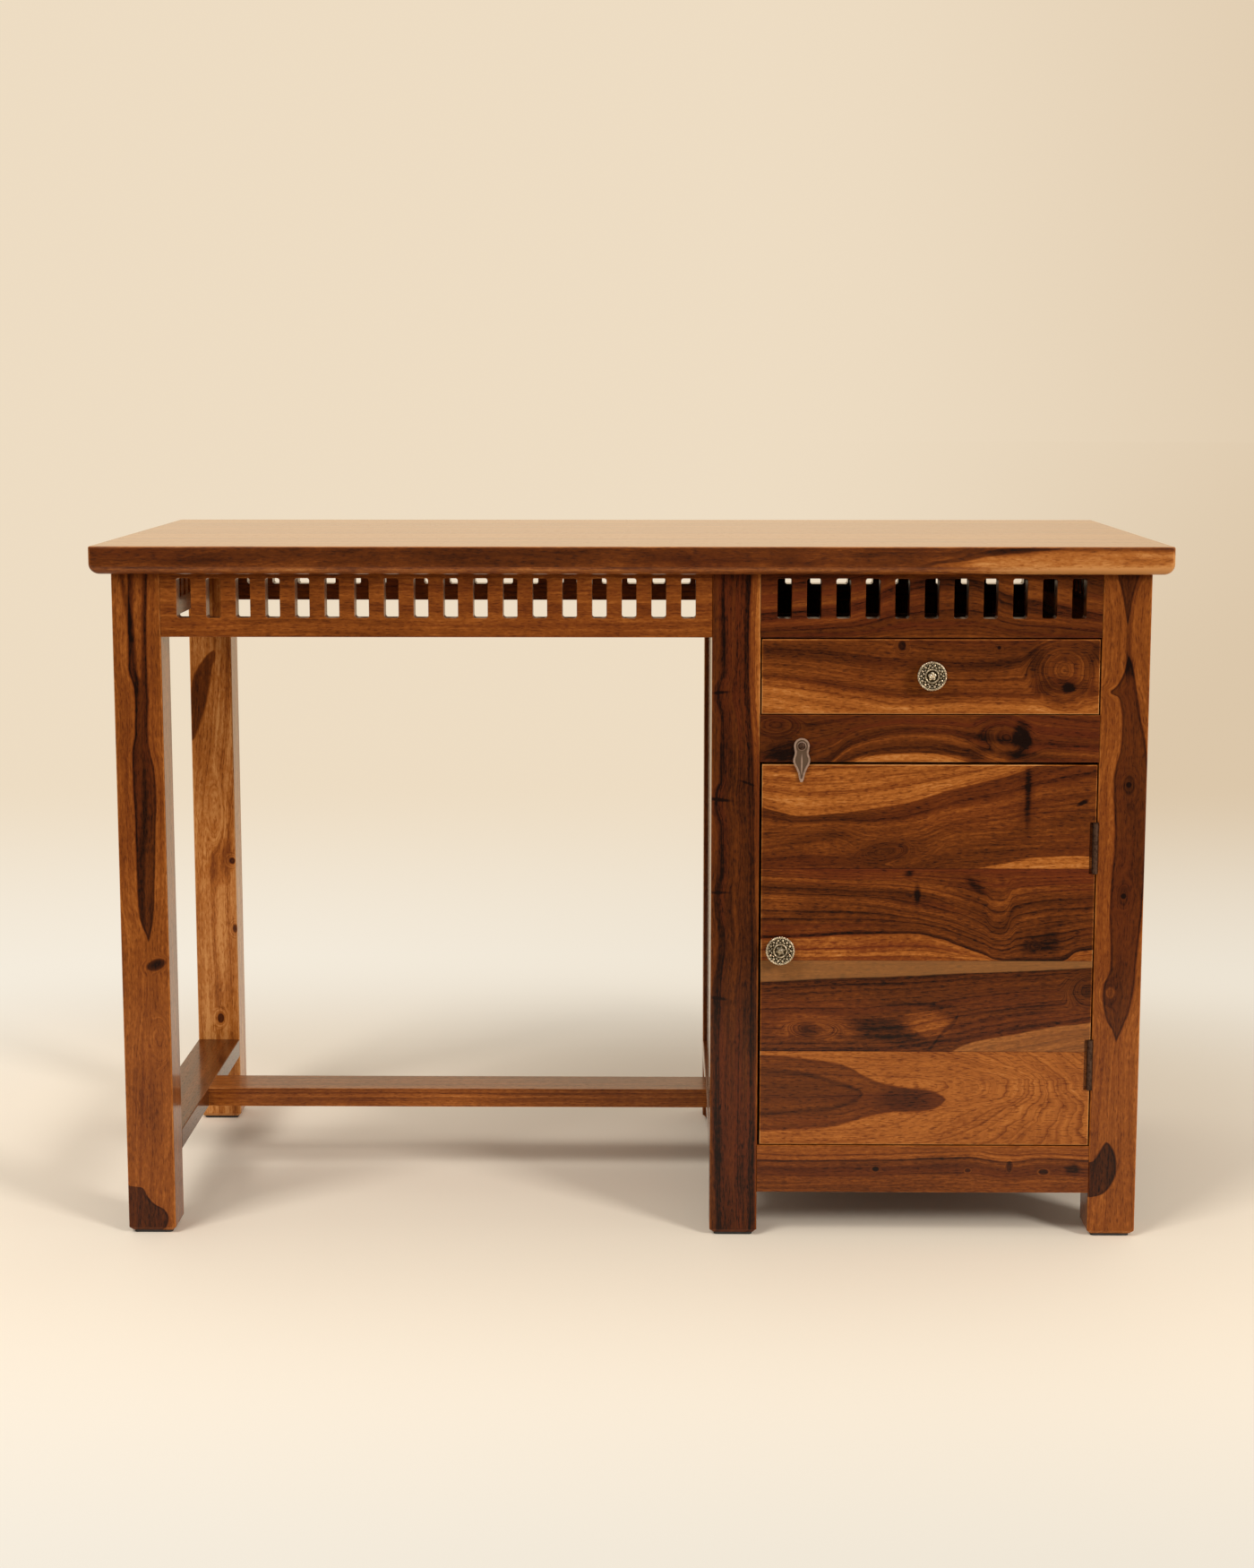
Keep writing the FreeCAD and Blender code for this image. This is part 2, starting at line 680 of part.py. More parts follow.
for column in ("left", "middle", "right"):
    stretcher = tenoned_board(
        f"stretcher_{column}", (f"{column}_legs", "back_legs", "stretcher_bottom"),
        ("trestle_depth", "leg_side", "stretcher_thick"), -90, flat=True)
    if column != "right":
        start = "leg_side - tenon_length - mortise_bottom_gap" if column == "left" else "-cut_overrun"
        wide = "long_stretcher_width - 2 * tenon_shoulder + 2 * joint_play"
        block(
            stretcher, "long_stretcher_socket",
            (f"(trestle_depth - ({wide})) / 2", start, "(stretcher_thick - tenon_thick) / 2 - joint_play"),
            (wide, "tenon_length + mortise_bottom_gap + cut_overrun", "tenon_thick + 2 * joint_play"),
            cut=True)
tenoned_board(
    "stretcher_long", ("knee_left", "-long_stretcher_width / 2", "stretcher_bottom"),
    ("knee_width", "long_stretcher_width", "stretcher_thick"), flat=True)


# Cabinet: panels in the legs' grooves, a floor on cleats and a shelf on cleats

panel_size = ("panel_thick", "trestle_depth + 2 * groove_depth", "apron_bottom - stretcher_top")
for side, face in (("left", "middle_legs + panel_recess"), ("right", "right_panel_face")):
    board(f"side_panel_{side}", (face, "trestle_front - groove_depth", "stretcher_top"), panel_size)
board(
    "back_panel", ("cabinet_left - groove_depth", "back_panel_face", "floor_top"),
    ("cabinet_width + 2 * groove_depth", "panel_thick", "apron_bottom - floor_top"))
board(
    "cabinet_floor", ("cabinet_left", "front_rail_back", "floor_top - floor_thick"),
    ("cabinet_width", "back_rail_front - front_rail_back", "floor_thick"))
shelf = board(
    "cabinet_shelf",
    ("left_panel_face + shelf_play", "trestle_front + shelf_play", "shelf_top - shelf_thick"),
    (
        "right_panel_face - left_panel_face - 2 * shelf_play", "trestle_depth - 2 * shelf_play",
        "shelf_thick"))
block(
    shelf, "rear_tongue", ("cabinet_left - left_panel_face", "trestle_depth - 2 * shelf_play", "0"),
    ("cabinet_width - 2 * shelf_play", "back_panel_face - back_legs", "shelf_thick"))

floor_cleat = new_body("floor_cleat_model", ("0", "0", "0"), node=False)
block(
    floor_cleat, "cleat", ("0", "0", "0"), ("cabinet_width - 2 * cleat_inset", "cleat_side", "cleat_side"))
floor_cleat_low = "floor_top - floor_thick - cleat_side"
copies("floor_cleats", [
    (floor_cleat, ("cabinet_left + cleat_inset", "front_rail_back", floor_cleat_low), None),
    (floor_cleat, ("cabinet_left + cleat_inset", "back_rail_front - cleat_side", floor_cleat_low), None),
])
shelf_cleat = new_body("shelf_cleat_model", ("0", "0", "0"), node=False)
block(shelf_cleat, "cleat", ("0", "0", "0"), ("cleat_side", "trestle_depth - 2 * cleat_inset", "cleat_side"))
shelf_cleat_low = "shelf_top - shelf_thick - cleat_side"
copies("shelf_cleats", [
    (shelf_cleat, ("left_panel_face", "trestle_front + cleat_inset", shelf_cleat_low), None),
    (shelf_cleat, ("right_panel_face - cleat_side", "trestle_front + cleat_inset", shelf_cleat_low), None),
])


# Drawer runners below the drawer's sides, notched round the legs, kickers above them and stops

def drawer_runner(side, wall, reach, near_leg):
    """A runner from a side panel to past the legs' inner faces."""
    runner = new_body(f"drawer_runner_{side}", (wall, "trestle_front", "runner_low"))
    block(runner, "board", ("0", "0", "0"), (reach, "trestle_depth", "runner_thick"))
    block(
        runner, "front_end", (near_leg, "front_rail_back - trestle_front", "0"),
        ("runner_reach", "trestle_front - front_rail_back", "runner_thick"))
    block(
        runner, "back_end", (near_leg, "trestle_depth", "0"),
        ("runner_reach", "back_panel_face - back_legs", "runner_thick"))


drawer_runner(
    "left", "left_panel_face", "cabinet_left + runner_reach - left_panel_face",
    "cabinet_left - left_panel_face")
drawer_runner("right", "right_legs - runner_reach", "right_panel_face - right_legs + runner_reach", "0")

kicker = new_body("kicker_model", ("0", "0", "0"), node=False)
block(
    kicker, "kicker", ("0", "0", "0"),
    ("leg_side - apron_thick + runner_reach", "trestle_depth", "kicker_height"))
copies("drawer_kickers", [
    (kicker, ("middle_legs + apron_thick", "trestle_front", "kicker_low"), None),
    (kicker, ("right_legs - runner_reach", "trestle_front", "kicker_low"), None),
])
drawer_stop = new_body("drawer_stop_model", ("0", "0", "0"), node=False)
block(
    drawer_stop, "stop", ("0", "0", "0"), ("drawer_side_thick", "stop_length", "stop_height"))
stop_front = "back_panel_face - stop_length"
copies("drawer_stops", [
    (drawer_stop, ("drawer_left + drawer_side_inset", stop_front, "drawer_rail_top"), None),
    (drawer_stop, ("drawer_left + drawer_width - side_place", stop_front, "drawer_rail_top"), None),
])
door_stop = new_body(
    "door_stop", ("cabinet_left + door_stop_inset", "front_rail_back", "drawer_rail_bottom - door_stop_drop"))
block(
    door_stop, "block", ("0", "0", "0"),
    ("door_stop_width", "door_stop_thick", "runner_low - drawer_rail_bottom + door_stop_drop"))
block(
    door_stop, "lip", ("0", "door_back - front_rail_back + stop_gap", "0"),
    ("door_stop_width", "front_rail_back - door_back - stop_gap", "door_stop_drop - joint_play"))


# Drawer: a front, two sides housed in it, a back between them and a bottom in grooves

front = new_body("drawer_front", ("drawer_left", "front_legs", "drawer_low"))
block(front, "board", ("0", "0", "0"), ("drawer_width", "drawer_front_thick", "drawer_front_height"))
ease(front, "Fillet", "face_arris", "face_round", level_with("y", "0"))
for word, place in (("left", "drawer_side_inset"), ("right", "drawer_width - side_place")):
    block(
        front, word + "_housing", (f"{place} - joint_play", "side_start - joint_play", "-cut_overrun"),
        (
            "drawer_side_thick + 2 * joint_play", "drawer_housing + joint_play + cut_overrun",
            "cut_overrun + side_low - drawer_low + drawer_side_height + joint_play"), cut=True)
block(
    front, "bottom_groove",
    (
        "side_place - drawer_bottom_groove", "drawer_front_thick - drawer_bottom_groove - joint_play",
        "bottom_low - drawer_low - joint_play"),
    (
        "box_width + 2 * drawer_bottom_groove", "drawer_bottom_groove + joint_play + cut_overrun",
        "drawer_bottom_thick + 2 * joint_play"), cut=True)
rod(
    front, "bolt_hole", ("drawer_width / 2", "-cut_overrun", "drawer_knob_height"),
    "bolt_radius + joint_play", "drawer_front_thick + 2 * cut_overrun", "back", cut=True)


def drawer_side(side, place, groove_place):
    """A drawer side with the groove for the bottom in its inner face."""
    piece = new_body(f"drawer_side_{side}", (f"drawer_left + {place}", "front_legs + side_start", "side_low"))
    block(piece, "board", ("0", "0", "0"), ("drawer_side_thick", "side_length", "drawer_side_height"))
    ease(piece, "Fillet", "arris", "board_round", along(Y_WAY))
    block(
        piece, "bottom_groove", (groove_place, "-cut_overrun", "drawer_bottom_rise - joint_play"),
        (
            "drawer_bottom_groove + joint_play + cut_overrun", "side_length + 2 * cut_overrun",
            "drawer_bottom_thick + 2 * joint_play"), cut=True)


drawer_side("left", "drawer_side_inset", "drawer_side_thick - drawer_bottom_groove - joint_play")
drawer_side("right", "drawer_width - side_place", "-cut_overrun")
board(
    "drawer_back",
    (
        "drawer_left + side_place", "front_legs + drawer_depth - drawer_side_thick",
        "bottom_low + drawer_bottom_thick"),
    (
        "box_width", "drawer_side_thick",
        "drawer_side_height - drawer_bottom_rise - drawer_bottom_thick - drawer_back_drop"), X_WAY)
board(
    "drawer_bottom",
    (
        "drawer_left + side_place - drawer_bottom_groove",
        "front_legs + drawer_front_thick - drawer_bottom_groove", "bottom_low"),
    (
        "box_width + 2 * drawer_bottom_groove", "drawer_depth - drawer_front_thick + drawer_bottom_groove",
        "drawer_bottom_thick"))


# Door: one panel of boards glued edge to edge, with two battens screwed to its back

door = new_body("door_panel", ("door_left", "front_legs", "door_low"))
block(door, "board", ("0", "0", "0"), ("door_width", "door_thick", "door_height"))
ease(door, "Fillet", "face_arris", "face_round", level_with("y", "0"))
for name in ("upper_hinge", "lower_hinge"):
    leaf_left = "hinge_x - barrel_radius - door_left"
    block(
        door, name + "_leaf_recess", (leaf_left, "-cut_overrun", f"{name} - door_low - leaf_play"),
        (
            "barrel_radius + cut_overrun", "cut_overrun + leaf_width - hinge_stand + leaf_play",
            "hinge_length + 2 * leaf_play"), cut=True)
    block(
        door, name + "_barrel_notch",
        ("hinge_x - barrel_notch_width - door_left", "-cut_overrun", f"{name} - door_low - notch_rise"),
        (
            "barrel_notch_width + cut_overrun", "cut_overrun + leaf_root - hinge_stand",
            "hinge_length + 2 * notch_rise"), cut=True)
    for number, rise in enumerate(("0", "leaf_screw_spacing"), 1):
        rod(
            door, f"{name}_pilot_{number}",
            (leaf_left, "leaf_screw_y - hinge_stand", f"{name} - door_low + leaf_screw_low + {rise}"),
            "screw_radius + joint_play", "screw_length", "left", cut=True)
rod(
    door, "bolt_hole", ("door_knob_inset", "-cut_overrun", "door_knob_height"), "bolt_radius + joint_play",
    "door_thick + 2 * cut_overrun", "back", cut=True)

batten_places = {"left": "batten_side_inset", "right": "door_width - batten_side_inset - batten_width"}
batten_screw_places = ("batten_screw_inset", "door_height - 2 * batten_end_inset - batten_screw_inset")
batten_screw_spots = []
for side, place in batten_places.items():
    batten = new_body(
        f"door_batten_{side}", (f"door_left + {place}", "door_back", "door_low + batten_end_inset"))
    block(
        batten, "board", ("0", "0", "0"),
        ("batten_width", "batten_thick", "door_height - 2 * batten_end_inset"))
    ease(batten, "Fillet", "back_arris", "batten_round", level_with("y", "batten_thick"))
    for number, rise in enumerate(batten_screw_places, 1):
        spot = ("batten_width / 2", "batten_thick", rise)
        screw_hole(batten, number, spot, "batten_thick", "front")
        rod(
            door, f"{side}_batten_pilot_{number}",
            (f"{place} + batten_width / 2", "door_thick", f"batten_end_inset + {rise}"),
            "screw_radius + joint_play", "screw_length", "front", cut=True)
        batten_screw_spots.append(
            (f"door_left + {place} + batten_width / 2", "door_back + batten_thick",
             f"door_low + batten_end_inset + {rise}"))


# Hinges: two leaves of rolled iron that share three knuckles on one pin

def hinge_leaf(label, low, hand, knuckles):
    """A leaf on the side that hand gives, with its knuckles round the pin's bore."""
    leaf = new_body(label, ("hinge_x", "hinge_y", low))
    inner = "barrel_radius - leaf_thick" if hand == "right" else "-barrel_radius"
    block(leaf, "plate", (inner, "leaf_root", "0"), ("leaf_thick", "leaf_width - leaf_root", "hinge_length"))
    for number, start in enumerate(knuckles, 1):
        block(leaf, f"root_{number}", (inner, "0", start), ("leaf_thick", "leaf_root", "knuckle_length"))
        rod(leaf, f"knuckle_{number}", ("0", "0", start), "barrel_radius", "knuckle_length")
    rod(
        leaf, "bore", ("0", "0", "-cut_overrun"), "pin_radius + pin_play",
        "hinge_length + 2 * cut_overrun", cut=True)
    face = "barrel_radius - leaf_thick" if hand == "right" else "leaf_thick - barrel_radius"
    for number, rise in enumerate(("0", "leaf_screw_spacing"), 1):
        screw_hole(leaf, number, (face, "leaf_screw_y", f"leaf_screw_low + {rise}"), "leaf_thick", hand)


outer_knuckles = ("0", "hinge_length - knuckle_length")
middle_knuckle = ("knuckle_length + knuckle_gap",)
for level in ("upper", "lower"):
    hinge_leaf(f"hinge_frame_leaf_{level}", f"{level}_hinge", "right", outer_knuckles)
    hinge_leaf(f"hinge_door_leaf_{level}", f"{level}_hinge", "left", middle_knuckle)
pin = new_body("hinge_pin_model", ("0", "0", "0"), node=False)
rod(pin, "pin", ("0", "0", "-pin_head_thick"), "pin_radius", "hinge_length + 2 * pin_head_thick")
rod(pin, "lower_head", ("0", "0", "-pin_head_thick"), "barrel_radius", "pin_head_thick")
rod(pin, "upper_head", ("0", "0", "hinge_length"), "barrel_radius", "pin_head_thick")
copies("hinge_pins", [(pin, ("hinge_x", "hinge_y", f"{level}_hinge"), None) for level in ("upper", "lower")])


# Countersunk wood screws: one model, with its head's flat face at zero and its shank going up

screw = new_body("wood_screw_model", ("0", "0", "0"), node=False)
cone(screw, "head", ("0", "0", "0"), ("screw_head_radius", "screw_radius"), "screw_head_thick")
rod(screw, "shank", ("0", "0", "0"), "screw_radius", "screw_length")
frame_spots, door_spots = [], []
for level in ("upper", "lower"):
    for rise in ("0", "leaf_screw_spacing"):
        height = f"{level}_hinge + leaf_screw_low + {rise}"
        frame_spots.append((screw, ("right_legs", "hinge_y + leaf_screw_y", height), TURNS["right"]))
        door_face = "hinge_x - barrel_radius + leaf_thick"
        door_spots.append((screw, (door_face, "hinge_y + leaf_screw_y", height), TURNS["left"]))
copies("hinge_frame_screws", frame_spots)
copies("hinge_door_screws", door_spots)
batten_screw = new_body("batten_screw_model", ("0", "0", "0"), node=False)
cone(batten_screw, "head", ("0", "0", "0"), ("screw_head_radius", "screw_radius"), "screw_head_thick")
rod(
    batten_screw, "shank", ("0", "0", "0"), "screw_radius",
    "batten_thick + screw_length - mortise_bottom_gap")
copies("door_batten_screws", [(batten_screw, spot, TURNS["front"]) for spot in batten_screw_spots])


# Turn button: a flat iron leaf that hangs from a round-headed screw over the door's top edge

def button_shape():
    """The button about its pivot, in the plane of X and Z: a round head and a tapering leaf."""
    belly, drop = length_of("button_belly_width"), length_of("button_length")
    head = length_of("button_head_radius")
    rows = list(zip(BUTTON_WIDTH_SHARES, BUTTON_DROP_SHARES))
    right = [FreeCAD.Vector(wide * belly, 0, -low * drop) for wide, low in rows]
    left = [FreeCAD.Vector(-point.x, 0, point.z) for point in reversed(right)]
    leaf = Part.BSplineCurve()
    leaf.interpolate([*right, FreeCAD.Vector(0, 0, -drop), *left])
    crown = Part.Arc(left[-1], FreeCAD.Vector(0, 0, head), right[0])
    wire = Part.Wire([leaf.toShape(), crown.toShape()])
    plate = Part.Face(wire).extrude(FreeCAD.Vector(0, -length_of("button_thick"), 0))
    hole = Part.makeCylinder(
        length_of("round_screw_radius + pin_play"), length_of("button_thick + 2 * cut_overrun"),
        FreeCAD.Vector(0, length_of("cut_overrun"), 0), FreeCAD.Vector(0, -1, 0))
    return plate.cut(hole)


button = doc.addObject("Part::Feature", "turn_button")
button.Label = "turn_button"
button.Shape = button_shape()
seat(button, ("button_x", "front_legs - button_gap", "button_z"))
nodes.append(button)
button_screw = new_body(
    "turn_button_screw", ("button_x", "front_legs - button_front", "button_z"), TURNS["back"])
dome(button_screw, "head", ("0", "0", "-button_gap"), "round_head_radius", "round_head_rise")
block(
    button_screw, "head_underside",
    ("-round_head_radius - cut_overrun", "-round_head_radius - cut_overrun", "-button_gap"),
    (
        "2 * round_head_radius + 2 * cut_overrun", "2 * round_head_radius + 2 * cut_overrun",
        "round_head_rise + cut_overrun"), cut=True)
rod(
    button_screw, "shank", ("0", "0", "-button_gap"), "round_screw_radius",
    "button_thick + round_screw_length + button_gap - mortise_bottom_gap")


# Knobs: round rosettes on a short stem, each held by a bolt from behind

def knob(label, corner):
    """A rosette with a beaded rim's ring, a low dome and a centre boss, facing the front."""
    piece = new_body(label, corner, TURNS["front"])
    rod(piece, "foot", ("0", "0", "0"), "knob_foot_radius", "knob_foot_thick")
    rod(piece, "stem", ("0", "0", "0"), "knob_stem_radius", "knob_disc_low")
    cone(
        piece, "flare", ("0", "0", "knob_disc_low - knob_flare"),
        ("knob_stem_radius", "knob_radius - knob_rim_radius"), "knob_flare")
    rod(piece, "disc", ("0", "0", "knob_disc_low"), "knob_radius - knob_rim_radius", "knob_disc_thick")
    rim = piece.newObject("PartDesign::AdditiveTorus", "rim")
    bind(rim, "Radius1", "knob_radius - knob_rim_radius")
    bind(rim, "Radius2", "knob_rim_radius")
    seat(rim, ("0", "0", "knob_disc_low + knob_disc_thick / 2"))
    dome(piece, "dome", ("0", "0", "knob_disc_low + knob_disc_thick"), "knob_dome_radius", "knob_dome_rise")
    dome(
        piece, "boss", ("0", "0", "knob_disc_low + knob_disc_thick + knob_dome_rise / 2"), "knob_boss_radius",
        "knob_dome_rise")
    rod(
        piece, "thread", ("0", "0", "-cut_overrun"), "bolt_radius + pin_play",
        "cut_overrun + bolt_grip", cut=True)


def knob_bolt(label, x, back, z, thick):
    """A round-headed bolt from the back of a board into its knob."""
    piece = new_body(label, (x, back, z), TURNS["front"])
    rod(piece, "head", ("0", "0", "-bolt_head_thick"), "bolt_head_radius", "bolt_head_thick")
    rod(piece, "shank", ("0", "0", "0"), "bolt_radius", f"{thick} + bolt_grip - mortise_bottom_gap")


knob("drawer_knob", ("drawer_knob_x", "front_legs", "drawer_knob_z"))
knob_bolt(
    "drawer_knob_bolt", "drawer_knob_x", "front_legs + drawer_front_thick", "drawer_knob_z",
    "drawer_front_thick")
knob("door_knob", ("door_knob_x", "front_legs", "door_knob_z"))
knob_bolt("door_knob_bolt", "door_knob_x", "door_back", "door_knob_z", "door_thick")


# Angle brackets: two on each long apron, screwed to the apron and to the underside of the top

bracket = new_body("bracket_model", ("0", "0", "0"), node=False)
block(
    bracket, "upright", ("-bracket_width / 2", "0", "-bracket_arm"),
    ("bracket_width", "bracket_thick", "bracket_arm"))
block(
    bracket, "arm", ("-bracket_width / 2", "0", "-bracket_thick"),
    ("bracket_width", "bracket_arm", "bracket_thick"))
rod(
    bracket, "apron_hole", ("0", "-cut_overrun", "-bracket_hole_place"), "screw_radius + joint_play",
    "bracket_thick + 2 * cut_overrun", "back", cut=True)
rod(
    bracket, "top_hole", ("0", "bracket_hole_place", "-bracket_thick - cut_overrun"),
    "screw_radius + joint_play", "bracket_thick + 2 * cut_overrun", cut=True)
bracket_screw = new_body("bracket_screw_model", ("0", "0", "0"), node=False)
rod(bracket_screw, "head", ("0", "0", "-screw_head_thick"), "screw_head_radius", "screw_head_thick")
rod(bracket_screw, "shank", ("0", "0", "-screw_head_thick"), "screw_radius", "screw_length")

bracket_places, bracket_screw_places = [], []
for start, sign, row, turn in (("knee_left", "+", "front", 0), ("middle_legs", "-", "back", 180)):
    for place in ("knee_bracket", "knee_width - knee_bracket"):
        bracket_places.append((f"{start} {sign} ({place})", row, turn))
for start, sign, row, turn in (("cabinet_left", "+", "front", 0), ("right_legs", "-", "back", 180)):
    for place in ("cabinet_bracket", "cabinet_width - cabinet_bracket"):
        bracket_places.append((f"{start} {sign} ({place})", row, turn))
bracket_links = []
for x, row, turn in bracket_places:
    face, inward = ("front_legs + apron_thick", "+") if row == "front" else ("back_face - apron_thick", "-")
    bracket_links.append((bracket, (x, face, "under_top"), FreeCAD.Rotation(Z_WAY, turn)))
    into_apron = TURNS["front"] if row == "front" else TURNS["back"]
    bracket_screw_places.append(
        (bracket_screw, (x, f"{face} {inward} bracket_thick", "under_top - bracket_hole_place"), into_apron))
    bracket_screw_places.append(
        (bracket_screw, (x, f"{face} {inward} bracket_hole_place", "under_top - bracket_thick"), None))
    rod(
        top, "bracket_pilot",
        (f"{x} + desk_width / 2", f"{face} {inward} bracket_hole_place + desk_depth / 2", "0"),
        "screw_radius + joint_play", "screw_length", cut=True)
copies("top_brackets", bracket_links)
copies("top_bracket_screws", bracket_screw_places)


# Check every object, then write each node to its own file

doc.recompute()
for thing in doc.Objects:
    if "Invalid" in thing.State or "Error" in thing.State:
        raise RuntimeError(f"{thing.Name} did not build: {thing.State}")
for node in nodes:
    if node.Shape.isNull() or not node.Shape.isValid() or not node.Shape.Solids:
        raise RuntimeError(f"{node.Label} has no sound solid")
os.makedirs("parts", exist_ok=True)
for node in nodes:
    node.Shape.exportStep(os.path.join("parts", node.Label + ".step"))
    print(f"{node.Label}: {len(node.Shape.Solids)} solid(s), {node.Shape.Volume / 1000:.1f} cm3")
print(f"{len(nodes)} nodes")
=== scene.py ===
"""A writing desk in figured rosewood: finishes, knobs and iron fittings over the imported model."""

import logging
import math
from dataclasses import dataclass, field, replace
from enum import Enum
from typing import Any, Optional, Sequence, Union

import bmesh
import bpy
from mathutils import Matrix, Vector


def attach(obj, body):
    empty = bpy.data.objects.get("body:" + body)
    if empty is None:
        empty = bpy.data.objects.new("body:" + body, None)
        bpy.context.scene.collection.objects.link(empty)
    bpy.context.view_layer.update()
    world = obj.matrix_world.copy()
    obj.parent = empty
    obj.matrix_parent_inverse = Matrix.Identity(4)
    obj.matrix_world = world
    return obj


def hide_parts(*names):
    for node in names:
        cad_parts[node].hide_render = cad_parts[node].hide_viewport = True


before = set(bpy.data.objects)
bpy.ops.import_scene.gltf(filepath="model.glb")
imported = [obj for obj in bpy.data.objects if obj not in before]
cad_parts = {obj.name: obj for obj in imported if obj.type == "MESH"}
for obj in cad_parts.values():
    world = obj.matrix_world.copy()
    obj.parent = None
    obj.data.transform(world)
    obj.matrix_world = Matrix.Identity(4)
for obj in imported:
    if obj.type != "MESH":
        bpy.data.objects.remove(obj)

LOG = logging.getLogger("desk")
NODES: dict[str, bpy.types.Object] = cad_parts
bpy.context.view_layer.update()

Pair = tuple[float, float]
Triple = tuple[float, float, float]
Colour = tuple[float, float, float]
Curve = tuple[Pair, ...]

# The least rise of a curve, and the greatest distance between corners that are welded, in metres.
LEAST = 1e-6
WELD = 1e-6

# How far the surface faces along an axis where an edge's rounding starts and where it is full.
ARRIS_EDGE: Pair = (0.985, 0.86)


class Value:
    """A number that varies over a surface; arithmetic on it adds Math nodes."""

    def __init__(self, shader: "Nodes", socket: bpy.types.NodeSocket) -> None:
        """Hold the output that carries the number, and its shader."""
        self.shader = shader
        self.socket = socket

    def maths(self, operation: str, *others: Union["Value", float]) -> "Value":
        """Run one Math node on this number and others.

        Args:
            operation: The Math node's operation.
            *others: Its further inputs, as values or plain numbers.

        Returns:
            The node's result.
        """
        inputs = {place: term for place, term in enumerate((self, *others))}
        node = self.shader.node("ShaderNodeMath", {"operation": operation}, inputs)
        return Value(self.shader, node.outputs[0])

    def flipped(self, operation: str, other: float) -> "Value":
        """Run one Math node with a plain number first."""
        node = self.shader.node("ShaderNodeMath", {"operation": operation}, {0: other, 1: self})
        return Value(self.shader, node.outputs[0])

    def __add__(self, other: Union["Value", float]) -> "Value":
        """Sum."""
        return self.maths("ADD", other)

    def __radd__(self, other: float) -> "Value":
        """Sum with a plain number first."""
        return self.flipped("ADD", other)

    def __sub__(self, other: Union["Value", float]) -> "Value":
        """Difference."""
        return self.maths("SUBTRACT", other)

    def __rsub__(self, other: float) -> "Value":
        """Difference from a plain number."""
        return self.flipped("SUBTRACT", other)

    def __mul__(self, other: Union["Value", float]) -> "Value":
        """Product."""
        return self.maths("MULTIPLY", other)

    def __rmul__(self, other: float) -> "Value":
        """Product with a plain number first."""
        return self.flipped("MULTIPLY", other)

    def __truediv__(self, other: Union["Value", float]) -> "Value":
        """Quotient."""
        return self.maths("DIVIDE", other)

    def __pow__(self, other: float) -> "Value":
        """Power."""
        return self.maths("POWER", other)

    def size(self) -> "Value":
        """The number without its sign."""
        return self.maths("ABSOLUTE")

    def swing(self, strength: float) -> "Value":
        """A noise from nought to one as a swing about nought, by a strength either way."""
        return (self - 0.5) * (2.0 * strength)

    def smooth(self, low: float, high: float) -> "Value":
        """A soft step.

        Args:
            low: Where the step starts.
            high: Where it ends; it falls from one to nought if this is below low.

        Returns:
            Nought to one, or one to nought for a falling step.
        """
        rising = high > low
        node = self.shader.node(
            "ShaderNodeMapRange",
            {"interpolation_type": "SMOOTHSTEP"},
            {"Value": self, "From Min": min(low, high), "From Max": max(low, high),
             "To Min": 0.0 if rising else 1.0, "To Max": 1.0 if rising else 0.0},
        )
        return Value(self.shader, node.outputs[0])


Number = Union[Value, float]
Term = Union[Value, bpy.types.NodeSocket, float, Sequence[float]]


